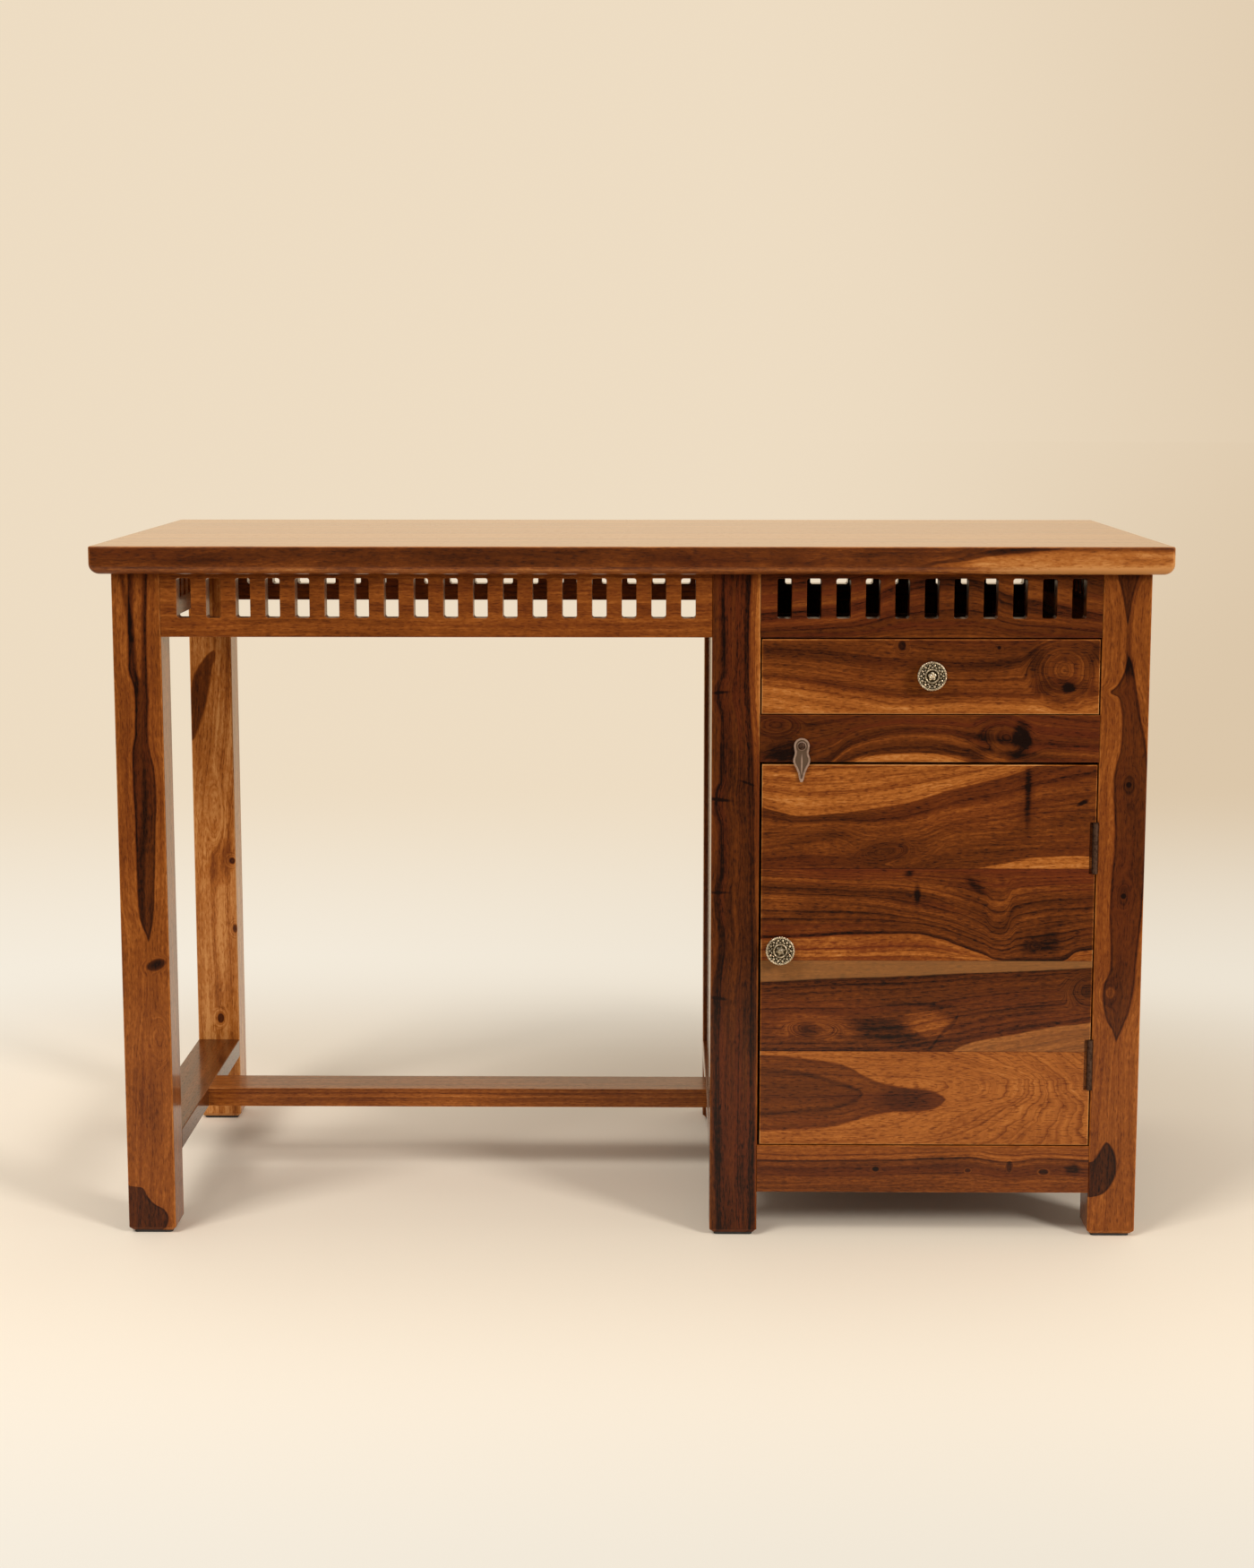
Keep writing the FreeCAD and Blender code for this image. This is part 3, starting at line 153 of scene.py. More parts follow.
class Nodes:
    """A node tree and the one method that adds nodes to it."""

    def __init__(self, tree: bpy.types.NodeTree) -> None:
        """Start with an empty tree, of a material or a world."""
        self.tree = tree
        self.tree.nodes.clear()

    def node(self, kind: str, settings: dict[str, Any], inputs: dict[Any, Term]) -> bpy.types.Node:
        """Add one node.

        Args:
            kind: The node's type.
            settings: Its settings, which are made first; stops are a ramp's and points a curve's.
            inputs: Values or links of its sockets, by name or by place.

        Returns:
            The node.
        """
        node = self.tree.nodes.new(kind)
        for word, setting in settings.items():
            if word == "stops":
                self.set_stops(node.color_ramp, setting)
            elif word == "points":
                self.set_points(node.mapping, setting)
            else:
                setattr(node, word, setting)
        for place, term in inputs.items():
            if isinstance(term, Value):
                term = term.socket
            if isinstance(term, bpy.types.NodeSocket):
                self.tree.links.new(term, node.inputs[place])
            else:
                node.inputs[place].default_value = term
        return node

    @staticmethod
    def set_stops(ramp: bpy.types.ColorRamp, stops: Sequence[tuple[float, Colour]]) -> None:
        """Give a ramp its stops.

        Args:
            ramp: The ramp.
            stops: Places from nought to one, each with its colour.
        """
        while len(ramp.elements) < len(stops):
            ramp.elements.new(1.0)
        for element, (place, colour) in zip(ramp.elements, stops):
            element.position = place
            element.color = (*colour, 1.0)

    @staticmethod
    def set_points(mapping: bpy.types.CurveMapping, points: Sequence[Pair]) -> None:
        """Give a curve its points.

        Args:
            mapping: The curve.
            points: Places and heights, both from nought to one.
        """
        curve = mapping.curves[0]
        mapping.extend = "HORIZONTAL"
        for _ in points[2:]:
            curve.points.new(0.5, 0.5)
        for point, (place, height) in zip(curve.points, points):
            point.location = (place, height)
            point.handle_type = "AUTO_CLAMPED"
        mapping.update()

    def parts(self, vector: bpy.types.NodeSocket) -> tuple[Value, Value, Value]:
        """Split a vector into its three numbers."""
        node = self.node("ShaderNodeSeparateXYZ", {}, {0: vector})
        return tuple(Value(self, output) for output in node.outputs)

    def place(self) -> tuple[Value, Value, Value]:
        """The surface point's X, Y and Z in the desk's frame, in metres."""
        return self.parts(self.node("ShaderNodeTexCoord", {}, {}).outputs["Object"])

    def vector(self, along: Term, across: Term, deep: Term) -> bpy.types.NodeSocket:
        """Join three numbers to a vector."""
        return self.node("ShaderNodeCombineXYZ", {}, {0: along, 1: across, 2: deep}).outputs[0]

    def noise(self, place: Sequence[Value], pitch: Triple, detail: float,
              rough: float = 0.5) -> Value:
        """Smooth noise in space.

        Args:
            place: Where it is read, in metres.
            pitch: How many patches a metre has on each axis.
            detail: How many finer layers it has.
            rough: How strong those layers are.

        Returns:
            Nought to one, mostly near a half.
        """
        at = self.vector(*(part * scale for part, scale in zip(place, pitch)))
        node = self.node("ShaderNodeTexNoise", {"noise_dimensions": "3D"},
                         {"Vector": at, "Scale": 1.0, "Detail": detail, "Roughness": rough})
        return Value(self, node.outputs[0])

    def strand(self, at: Value, detail: float, rough: float = 0.5) -> Value:
        """Smooth noise along one scaled number, from nought to one."""
        node = self.node("ShaderNodeTexNoise", {"noise_dimensions": "1D"},
                         {"W": at, "Scale": 1.0, "Detail": detail, "Roughness": rough})
        return Value(self, node.outputs[0])

    def ramp(self, at: Value, stops: Sequence[tuple[float, Colour]]) -> bpy.types.NodeSocket:
        """A colour that changes with a number from nought to one."""
        return self.node("ShaderNodeValToRGB", {"stops": stops}, {0: at}).outputs[0]

    def graph(self, at: Value, points: Sequence[Pair]) -> Value:
        """A number read from a curve through points, in their own units.

        Args:
            at: The number that the curve is read at.
            points: Places in rising order, each with its height.

        Returns:
            The curve's height.
        """
        if len(points) == 1:
            points = (points[0], (points[0][0] + 1.0, points[0][1]))
        places = [place for place, _ in points]
        heights = [height for _, height in points]
        start, run = places[0], places[-1] - places[0]
        low, rise = min(heights), max(max(heights) - min(heights), LEAST)
        shares = [((place - start) / run, (height - low) / rise) for place, height in points]
        share = (at - start) * (1.0 / run)
        node = self.node("ShaderNodeFloatCurve", {"points": shares}, {0: 1.0, 1: share})
        return Value(self, node.outputs[0]) * rise + low

    def mix(self, share: Term, first: Term, second: Term) -> bpy.types.NodeSocket:
        """Blend two colours."""
        node = self.node("ShaderNodeMix", {"data_type": "RGBA"}, {0: share, 6: first, 7: second})
        return node.outputs[2]

    def span(self, at: Value, low: Term, high: Term, run: float) -> Value:
        """How far a number has come from one to another, as a share of a run."""
        node = self.node("ShaderNodeMapRange", {"interpolation_type": "LINEAR"},
                         {"Value": at, "From Min": low, "From Max": high,
                          "To Min": 0.0, "To Max": run})
        return Value(self, node.outputs[0])

    def facing(self) -> tuple[Value, Value, Value]:
        """The X, Y and Z of the way that the surface faces."""
        return self.parts(self.node("ShaderNodeTexCoord", {}, {}).outputs["Normal"])

    def arris(self) -> Value:
        """Nought on a flat and one on a rounded edge, which faces along no axis."""
        x, y, z = (part.size() for part in self.facing())
        return x.maths("MAXIMUM", y).maths("MAXIMUM", z).smooth(*ARRIS_EDGE)

    def bump(self, height: Value, strength: float, depth: float) -> bpy.types.NodeSocket:
        """A surface direction that follows a height."""
        node = self.node("ShaderNodeBump", {},
                         {"Strength": strength, "Distance": depth, "Height": height})
        return node.outputs[0]


class Shader(Nodes):
    """One material and the nodes that it is written with."""

    def __init__(self, name: str) -> None:
        """Start an empty material.

        Args:
            name: The material's name.
        """
        self.material = bpy.data.materials.new(name)
        self.material.use_nodes = True
        super().__init__(self.material.node_tree)

    def finish(self, inputs: dict[Any, Term]) -> bpy.types.Material:
        """End the material with the usual surface.

        Args:
            inputs: The surface's values and links.

        Returns:
            The material.
        """
        surface = self.node("ShaderNodeBsdfPrincipled", {}, inputs)
        self.node("ShaderNodeOutputMaterial", {}, {"Surface": surface.outputs[0]})
        return self.material


class Grain(Enum):
    """The way that a board's grain runs: the axes along it, across its face and into it."""

    WIDE = ("x", "z", "y")
    FLAT = ("x", "y", "z")
    TALL = ("z", "x", "y")
    DEEP = ("y", "z", "x")
    DEEP_FLAT = ("y", "x", "z")
    PANEL = ("z", "y", "x")

    def sort(self, x: Value, y: Value, z: Value) -> tuple[Value, Value, Value]:
        """Put a place's three numbers in the order along, across, deep."""
        numbers = {"x": x, "y": y, "z": z}
        return tuple(numbers[word] for word in self.value)


class Mark(Enum):
    """The outline of a mark in the wood."""

    OVAL = "oval"
    TONGUE = "tongue"


# How ragged broad and fine noise make a mark's edge: as a share of its size at most, and in metres.
RAGGED: Curve = ((0.5, 0.009), (0.35, 0.006))


@dataclass(frozen=True)
class Figure:
    """A knot, swirl or patch, placed on a board's face.

    Attributes:
        at: Its centre along and across the board, in metres.
        half: Half its length and half its width, in metres.
        tone: How much darker it makes the wood, or lighter below nought.
        rings: How far out its own rings reach, as a share of its size.
        soft: How soft its edge is, as a share of its size.
        turn: How far it is turned from the grain, in degrees.
        mark: Its outline.
    """

    at: Pair
    half: Pair
    tone: float = 0.3
    rings: float = 0.0
    soft: float = 0.25
    turn: float = 0.0
    mark: Mark = Mark.OVAL

    def reach(self, along: Value, across: Value, noises: Sequence[Value]) -> Value:
        """How far a point lies from the mark's middle, as a share of the mark's size.

        Args:
            along: The place along the grain.
            across: The place across the board's face.
            noises: The broad and the fine noise that make its edge ragged.

        Returns:
            Nought at the mark's middle and one at its edge.
        """
        sine, cosine = math.sin(math.radians(self.turn)), math.cos(math.radians(self.turn))
        far = along - self.at[0]
        off = across - self.at[1]
        lengthwise = (far * cosine + off * sine) * (1.0 / self.half[0])
        sideways = (off * cosine - far * sine) * (1.0 / self.half[1])
        if self.mark is Mark.TONGUE:
            lengthwise = lengthwise.maths("MAXIMUM", 0.0)
        reach = (lengthwise * lengthwise + sideways * sideways).maths("SQRT")
        for noise, (most, depth) in zip(noises, RAGGED):
            reach = reach + (noise - 0.5) * min(most, depth / self.half[1])
        return reach


@dataclass(frozen=True)
class Vein:
    """Darker or paler wood between two drawn edges.

    Attributes:
        low: Its lower edge, as places along the board, each with its place across it.
        high: Its upper edge, drawn in the same way.
        tone: How much darker it makes the wood, or lighter below nought.
        soft: Half the width of its edges' fading, in metres.
        sap: How far it takes the wood to its sapwood colour, which on the worktop is a painted
            sheen.
        rim: How much darker still it is just inside its edges.
        rim_width: How wide that dark rim is, in metres.
    """

    low: Curve
    high: Curve
    tone: float = 0.3
    soft: float = 0.0012
    sap: float = 0.0
    rim: float = 0.0
    rim_width: float = 0.0035

    def share(self, shader: Nodes, along: Value, level: Value) -> tuple[Value, Optional[Value]]:
        """Where the vein lies.

        Args:
            shader: The shader that the sums are written in.
            along: The place along the grain.
            level: The place across it.

        Returns:
            One between the vein's edges, and one in its rim, or None where it has none.
        """
        above = level - shader.graph(along, self.low)
        below = shader.graph(along, self.high) - level
        inside = above.smooth(-self.soft, self.soft) * below.smooth(-self.soft, self.soft)
        if not self.rim:
            return inside, None
        core = above.smooth(0.0, self.rim_width) * below.smooth(0.0, self.rim_width)
        return inside, inside * (1.0 - core)


ROSEWOOD: tuple[tuple[float, Colour], ...] = (
    (0.0, (0.52, 0.232, 0.07)),
    (0.18, (0.352, 0.116, 0.021)),
    (0.36, (0.214, 0.059, 0.009)),
    (0.56, (0.112, 0.028, 0.0047)),
    (0.78, (0.048, 0.012, 0.003)),
    (1.0, (0.008, 0.003, 0.002)),
)
GREY_SAPWOOD: Colour = (0.205, 0.105, 0.038)
# On the worktop this tan is a painted sheen: its top face is mixed halfway to it.
PAINTED_TOP_SHEEN: Colour = (0.44, 0.235, 0.11)
RED_HEART: Colour = (0.12, 0.02, 0.006)

# How far one contour number is outside the drawn contours, and at least between them, in metres.
OUTSIDE_STEP = 0.02
THINNEST_GAP = 0.003

# Patches to the metre along, across and into the board.
BROAD: Triple = (3.2, 15.0, 15.0)
RIPPLE: Triple = (15.0, 55.0, 55.0)
CLOUD: Triple = (13.0, 32.0, 32.0)
STREAK: Triple = (9.0, 300.0, 120.0)
PORE: Triple = (110.0, 700.0, 700.0)
FIBRE: Triple = (150.0, 380.0, 380.0)

# How strong the finer layers of most noises are, and of the fibres' noise.
FINE = 0.6
FINE_FIBRE = 0.7

# How the pattern shifts from board to board and from stave to stave.
SEED_SHIFT = 3.71
STAVE_SHIFT = 5.17
STAVE_START = 0.37
STAVE_CHANCE: Pair = (1.37, 0.4)
STAVE_CONTRAST = 0.45

# Where soft steps start and end, in the noise that they are cut from.
PORE_EDGE: Pair = (0.54, 0.68)
LINED_BAND: Pair = (0.25, 0.65)
RED_EDGE: Pair = (0.4, 0.66)
RED_FROM: Pair = (0.15, 0.5)
RED_UNTIL: Pair = (1.0, 0.7)

# How far ripples shift the wood, in metres; where a figure's own rings hold fully, as a share of
# their reach; how much of the wander ripples make; the pace and the sway of growth lines along the
# growth field; how sharp those lines are; and how much of the redness follows the bands.
RIPPLE_DEPTH = 0.0035
RING_CORE = 0.35
RIPPLE_WANDER = 0.3
LINE_WANDER: Pair = (0.45, 2.4)
LINE_SHARPNESS = 5.0
BAND_REDNESS = 0.5

# Darkness of a glue line, paleness of the painted highlight along a best face's outline, and both
# their widths, in metres.
SEAM_TONE = 0.22
SEAM_EDGE: Pair = (0.0007, 0.0002)
OUTLINE_HIGHLIGHT_TONE = 0.2
OUTLINE_HIGHLIGHT_EDGE: Pair = (0.0013, 0.0004)
JOINT_BLEND = 0.0002

# How deep pores and growth lines lie in the bumps, and how much rougher pores and paler wood are.
PORE_DEPTH = -0.6
LINE_DEPTH = 0.3
PORE_ROUGH = 0.12
TONE_ROUGH = 0.06
LEAST_ROUGH = 0.03
BARE_ROUGH = 0.6
BARE_EDGE: Pair = (0.5, 0.9)
BUMP = 0.22
BUMP_DEPTH = 0.0003
COAT_ROUGH = 0.12


@dataclass(frozen=True)
class Look:
    """What one board's pattern gives at each point.

    Attributes:
        tone: The darkness.
        sap: The share of sapwood.
        red: The share of red heartwood.
        fleck: The pores.
        line: The growth lines.
    """

    tone: Value
    sap: Value
    red: Value
    fleck: Value
    line: Value

    def joined(self, other: "Look", share: Value) -> "Look":
        """Change over to another board's pattern where a share is one."""
        pairs = zip((self.tone, self.sap, self.red, self.fleck, self.line),
                    (other.tone, other.sap, other.red, other.fleck, other.line))
        return Look(*(first + (second - first) * share for first, second in pairs))


@dataclass(frozen=True)
class Wood:
    """Lacquered rosewood, written for one board.

    Attributes:
        grain: The way that the grain runs.
        face: Where the board's best face lies, on the axis into the board.
        base: The board's general darkness, from nought to one.
        contours: Growth lines drawn along the board, from low to high, that the others follow.
        tones: Darkness that is added between them: contour numbers, each with its tone.
        veins: Drawn veins.
        figures: Knots and patches.
        seed: A number that gives the board its own pattern.
        bands: The strength of broad bands.
        lines: The strength of dark growth lines.
        pores: The strength of short dark pores.
        streaks: The strength of long fine streaks.
        fibre: The strength of short fibres, light and dark.
        cloud: The strength of soft cloudy patches.
        red: How much red heartwood shows.
        slope: How fast the growth lines shift with depth.
        wander: How far the growth lines wander, in metres.
        band_pitch: The usual width of a broad band, in metres.
        line_pitch: The usual distance between growth lines, in metres.
        stave: The width of the boards that it is glued from, or nought for one board.
        gloss: The surface's roughness.
        lustre: The oiled wood's index of refraction.
        coat: How much clear lacquer lies on it.
        coat_index: The lacquer's index of refraction.
        sapwood: The colour of its sapwood; on the worktop, a painted sheen on its top face.
        painted_edge_highlight: How much paler its rounded edges are painted, as a highlight.
        outline_highlight: The outline of its best face, where a pale line is painted as a
            highlight, or nothing: low and high along, low and high across.
        bare_top: Whether its upper edge is left without lacquer.
    """

    grain: Grain = Grain.WIDE
    face: float = -0.26
    base: float = 0.42
    contours: tuple[Curve, ...] = ()
    tones: Curve = ()
    veins: tuple[Vein, ...] = ()
    figures: tuple[Figure, ...] = ()
    seed: float = 0.0
    bands: float = 0.17
    lines: float = 0.2
    pores: float = 0.14
    streaks: float = 0.19
    fibre: float = 0.18
    cloud: float = 0.15
    red: float = 0.2
    slope: float = 0.6
    wander: float = 0.006
    band_pitch: float = 0.012
    line_pitch: float = 0.005
    stave: float = 0.0
    gloss: float = 0.32
    lustre: float = 1.16
    coat: float = 0.8
    coat_index: float = 1.22
    sapwood: Colour = GREY_SAPWOOD
    painted_edge_highlight: float = 0.2
    outline_highlight: Optional[tuple[float, float, float, float]] = None
    bare_top: bool = False

    def spacings(self) -> list[float]:
        """The mean distance between each pair of neighbouring contours, in metres."""
        means = [sum(height for _, height in curve) / len(curve) for curve in self.contours]
        return [max(high - low, THINNEST_GAP) for low, high in zip(means, means[1:])]

    def ring_of(self, number: float) -> float:
        """The growth field's value at a contour number.

        Args:
            number: The contour number, which may have a fraction.

        Returns:
            The value in metres.
        """
        gaps = self.spacings()
        if number <= 0.0:
            return number * OUTSIDE_STEP
        whole = min(int(number), len(gaps))
        rest = number - whole
        step = gaps[whole] if whole < len(gaps) else OUTSIDE_STEP
        return sum(gaps[:whole]) + rest * step

    def growth(self, shader: Nodes, along: Value, level: Value) -> Value:
        """The growth field, which every growth line follows.

        Args:
            shader: The shader that the sums are written in.
            along: The place along the grain.
            level: The place across the grain, slanted with depth.

        Returns:
            A value in metres that rises evenly between the drawn contours.
        """
        if not self.contours:
            return level
        curves = [shader.graph(along, curve) for curve in self.contours]
        below = (level - curves[0]).maths("MINIMUM", 0.0)
        ring = below + (level - curves[-1]).maths("MAXIMUM", 0.0)
        for low, high, gap in zip(curves, curves[1:], self.spacings()):
            ring = ring + shader.span(level, low, high, gap)
        return ring

    def staved(self, shader: Nodes, across: Value) -> tuple[Number, Number]:
        """Give each stave its own stretch of the pattern and its own darkness.

        Args:
            shader: The shader that the sums are written in.
            across: The place across the board's face.

        Returns:
            The pattern's shift along the grain, and the general darkness.
        """
        shift = self.seed * SEED_SHIFT
        if not self.stave:
            return shift, self.base
        number = (across * (1.0 / self.stave) + self.seed * STAVE_START).maths("FLOOR")
        chance = shader.strand(number * STAVE_CHANCE[0] + STAVE_CHANCE[1], 0.0)
        return number * STAVE_SHIFT + shift, (chance - 0.5) * STAVE_CONTRAST + self.base

    def veined(self, shader: Nodes, along: Value, level: Value, tone: Value) -> tuple[Value, Value]:
        """Lay the drawn veins over the wood.

        Args:
            shader: The shader that the sums are written in.
            along: The place along the grain.
            level: The place across the grain, slanted with depth.
            tone: The darkness without them.

        Returns:
            The darkness with them, and the share of sapwood.
        """
        sap = level * 0.0
        for vein in self.veins:
            share, rim = vein.share(shader, along, level)
            tone = tone + share * vein.tone
            if rim is not None:
                tone = tone + rim * vein.rim
            if vein.sap:
                sap = sap + share * vein.sap
        return tone, sap

    def line(self, shader: Nodes, ring: Value, drift: Number) -> Value:
        """The thin dark growth lines.

        Args:
            shader: The shader that the sums are written in.
            ring: The growth field.
            drift: The pattern's shift along the grain.

        Returns:
            One on a line, falling to nought on one side of it.
        """
        slow, sway = LINE_WANDER
        pace = ring * (1.0 / self.line_pitch)
        growth = (shader.strand(pace * slow + drift, 1.0) * sway + pace).maths("FRACT")
        return growth ** LINE_SHARPNESS

    def pattern(self, shader: Nodes, along: Value, across: Value, deep: Value) -> Look:
        """Work out the board's pattern.

        Args:
            shader: The shader that the pattern is written in.
            along: The place along the grain.
            across: The place across the board's face.
            deep: The place into the board.

        Returns:
            What the surface needs at each point.
        """
        drift, base = self.staved(shader, across)
        place = (along + drift, across, deep)
        broad = shader.noise(place, BROAD, 2.0)
        ripple = shader.noise(place, RIPPLE, 2.0, FINE)
        slanted = across + (deep - self.face) * self.slope
        level = slanted + (ripple - 0.5) * RIPPLE_DEPTH
        ring = self.growth(shader, along, level)
        tone = shader.noise(place, CLOUD, 3.0, FINE).swing(self.cloud) + base
        if self.tones:
            points = [(self.ring_of(number), dark) for number, dark in self.tones]
            tone = tone + shader.graph(ring, points)
        tone, sap = self.veined(shader, along, level, tone)
        for figure in self.figures:
            reach = figure.reach(along, slanted, (broad, ripple))
            if figure.rings:
                near = reach.smooth(figure.rings, figure.rings * RING_CORE)
                ring = ring + (reach * figure.half[1] - ring) * near
            if figure.tone:
                tone = tone + reach.smooth(1.0 + figure.soft, 1.0 - figure.soft) * figure.tone
        ring = ring + broad.swing(self.wander)
        ring = ring + (ripple - 0.5) * (RIPPLE_WANDER * self.wander)
        band = shader.strand(ring * (1.0 / self.band_pitch) + drift, 2.0, FINE)
        line = self.line(shader, ring, drift)
        swayed = (place[0], ring, deep)
        streak = shader.noise(swayed, STREAK, 2.0, FINE)
        fibre = shader.noise(swayed, FIBRE, 2.0, FINE_FIBRE)
        fleck = shader.noise(place, PORE, 1.0).smooth(*PORE_EDGE)
        for wave, strength in ((band, self.bands), (streak, self.streaks), (fibre, self.fibre)):
            tone = tone + wave.swing(strength)
        tone = tone + line * (band.smooth(*LINED_BAND) * self.lines) + fleck * self.pores
        red = (broad + (band - 0.5) * BAND_REDNESS).smooth(*RED_EDGE) * self.red
        return Look(tone, sap, red, fleck, line)

    def surface(self, shader: Shader, look: Look,
                seam: Optional[Value] = None) -> bpy.types.Material:
        """Turn a pattern into the lacquered surface.

        Args:
            shader: The shader of the material.
            look: The pattern.
            seam: Where boards meet, or None for one board.

        Returns:
            The material.
        """
        tone = look.tone
        height = look.fleck * PORE_DEPTH - look.line * LINE_DEPTH
        coat: Term = self.coat
        rough = look.fleck * PORE_ROUGH - tone * TONE_ROUGH + (self.gloss + LEAST_ROUGH)
        if seam is not None:
            tone = tone + seam * SEAM_TONE
            height = height - seam
        if self.painted_edge_highlight:
            # Painted highlight: rounded edges are painted paler, and their coat is taken off.
            highlight_and_bare = shader.arris()
            tone = tone - highlight_and_bare * self.painted_edge_highlight
            if self.bare_top:
                up = shader.facing()[2].smooth(*BARE_EDGE)
                highlight_and_bare = highlight_and_bare.maths("MAXIMUM", up)
                rough = rough + up * BARE_ROUGH
            coat = (1.0 - highlight_and_bare) * self.coat
        # Painted highlight: a pale line along the outline of the best face.
        if self.outline_highlight is not None:
            tone = tone - self.painted_outline(shader) * OUTLINE_HIGHLIGHT_TONE
        colour = shader.ramp(tone, ROSEWOOD)
        redness = look.red * tone.smooth(*RED_FROM) * tone.smooth(*RED_UNTIL)
        colour = shader.mix(redness, colour, (*RED_HEART, 1.0))
        colour = shader.mix(look.sap, colour, (*self.sapwood, 1.0))
        return shader.finish({
            "Base Color": colour,
            "Roughness": rough,
            "Normal": shader.bump(height, BUMP, BUMP_DEPTH),
            "IOR": self.lustre,
            "Coat Weight": coat,
            "Coat IOR": self.coat_index,
            "Coat Roughness": COAT_ROUGH,
        })

    def painted_outline(self, shader: Shader) -> Value:
        """Where a pale line is painted as a highlight along the outline of the best face.

        Args:
            shader: The shader of the material.

        Returns:
            One on the outline and nought inside it.
        """
        along, across, _ = self.grain.sort(*shader.place())
        start, end, low, high = self.outline_highlight
        inset = (along - start).maths("MINIMUM", end - along)
        inset = inset.maths("MINIMUM", across - low).maths("MINIMUM", high - across)
        return inset.smooth(*OUTLINE_HIGHLIGHT_EDGE)

    def dress(self, name: str) -> bpy.types.Material:
        """Write the material for one board."""
        shader = Shader(name)
        return self.surface(shader, self.pattern(shader, *self.grain.sort(*shader.place())))


@dataclass(frozen=True)
class Glued:
    """Boards glued edge to edge, each with its own drawn figure.

    Attributes:
        boards: The boards, from the lowest up.
        joints: Where they meet, across the grain.
    """

    boards: tuple[Wood, ...]
    joints: tuple[float, ...]

    def dress(self, name: str) -> bpy.types.Material:
        """Write the material for the whole panel.

        Args:
            name: The material's name.

        Returns:
            The material.
        """
        shader = Shader(name)
        first = self.boards[0]
        along, across, deep = first.grain.sort(*shader.place())
        look = first.pattern(shader, along, across, deep)
        seam = along * 0.0
        for wood, joint in zip(self.boards[1:], self.joints):
            share = across.smooth(joint - JOINT_BLEND, joint + JOINT_BLEND)
            look = look.joined(wood.pattern(shader, along, across, deep), share)
            seam = seam + (across - joint).size().smooth(*SEAM_EDGE)
        return first.surface(shader, look, seam)


@dataclass(frozen=True)
class Metal:
    """Cast or rolled metal, bright on its high places and dull in its hollows; the dull hollows are
    painted shade, on brass also patina.

    Attributes:
        light: The colour of its bright places.
        dark: The colour where it is dull.
        rough: The roughness of its bright places.
        grain: The size of its mottling, in metres.
        relief: The depth of its bumps, in metres.
        metal: How metallic it is.
        mottle: How far the mottling dulls it.
        shaded_hollow: The Y of its hollows and of its high places, or nothing for an even finish;
            the hollows are darkened as painted shade.
        spot_edge: Where the mottling's spots start and end.
        spot_rough: How strong the finer layers of the mottling are.
        grit: How much finer its grit is than its mottling.
        added: What dull places and grit add to the roughness.
        grit_relief: How much of its bumps is grit.
        bump: How strong its bumps are.
    """

    light: Colour
    dark: Colour
    rough: float = 0.35
    grain: float = 0.003
    relief: float = 0.0001
    metal: float = 1.0
    mottle: float = 0.5
    shaded_hollow: Optional[Pair] = None
    spot_edge: Pair = (0.42, 0.66)
    spot_rough: float = 0.55
    grit: float = 5.0
    added: Pair = (0.25, 0.08)
    grit_relief: float = 0.4
    bump: float = 0.3

    def dress(self, name: str) -> bpy.types.Material:
        """Write the material.

        Args:
            name: The material's name.

        Returns:
            The material.
        """
        shader = Shader(name)
        place = shader.place()
        scale = 1.0 / self.grain
        spots = shader.noise(place, (scale,) * 3, 3.0, self.spot_rough)
        grit = shader.noise(place, (scale * self.grit,) * 3, 2.0)
        dull = spots.smooth(*self.spot_edge) * self.mottle
        # Painted shade: the hollows behind a given Y take the dull colour, on brass also as patina.
        if self.shaded_hollow is not None:
            low, high = self.shaded_hollow
            dull = dull.maths("MAXIMUM", (place[1] * -1.0).smooth(-high, -low))
        colour = shader.mix(dull, (*self.light, 1.0), (*self.dark, 1.0))
        return shader.finish({
            "Base Color": colour,
            "Metallic": self.metal,
            "Roughness": dull * self.added[0] + self.rough + grit * self.added[1],
            "Normal": shader.bump(spots + grit * self.grit_relief, self.bump, self.relief),
        })


@dataclass(frozen=True)
class Moulded:
    """A plain moulded plastic with a fine grain.

    Attributes:
        colour: Its colour.
        rough: Its roughness.
        grit: How many grains a metre of it has.
        dust: How many patches of dust a metre of it has.
        dust_edge: Where those patches start and end.
        dusty: How far dust takes it to a paler colour.
        paler: What its colour is multiplied with there, and what is added.
        added: What grit and dust add to the roughness.
        bump: The strength and the depth of its bumps, the depth in metres.
    """

    colour: Colour
    rough: float = 0.55
    grit: float = 900.0
    dust: float = 60.0
    dust_edge: Pair = (0.45, 0.75)
    dusty: float = 0.5
    paler: Pair = (2.2, 0.02)
    added: Pair = (0.12, 0.15)
    bump: Pair = (0.2, 0.0001)

    def dress(self, name: str) -> bpy.types.Material:
        """Write the material.

        Args:
            name: The material's name.

        Returns:
            The material.
        """
        shader = Shader(name)
        place = shader.place()
        grit = shader.noise(place, (self.grit,) * 3, 2.0)
        dust = shader.noise(place, (self.dust,) * 3, 3.0).smooth(*self.dust_edge)
        times, more = self.paler
        pale = tuple(min(1.0, part * times + more) for part in self.colour)
        return shader.finish({
            "Base Color": shader.mix(dust * self.dusty, (*self.colour, 1.0), (*pale, 1.0)),
            "Roughness": grit * self.added[0] + dust * self.added[1] + self.rough,
            "Normal": shader.bump(grit, *self.bump),
        })


# The knobs' hollows are darkened as painted shade and patina.
BRASS = Metal(light=(0.74, 0.62, 0.44), dark=(0.055, 0.04, 0.02), rough=0.22, mottle=0.62,
              shaded_hollow=(-0.275, -0.2763))
DARK_IRON = Metal(light=(0.105, 0.056, 0.036), dark=(0.036, 0.018, 0.011), rough=0.5,
                  metal=0.9, mottle=0.8)
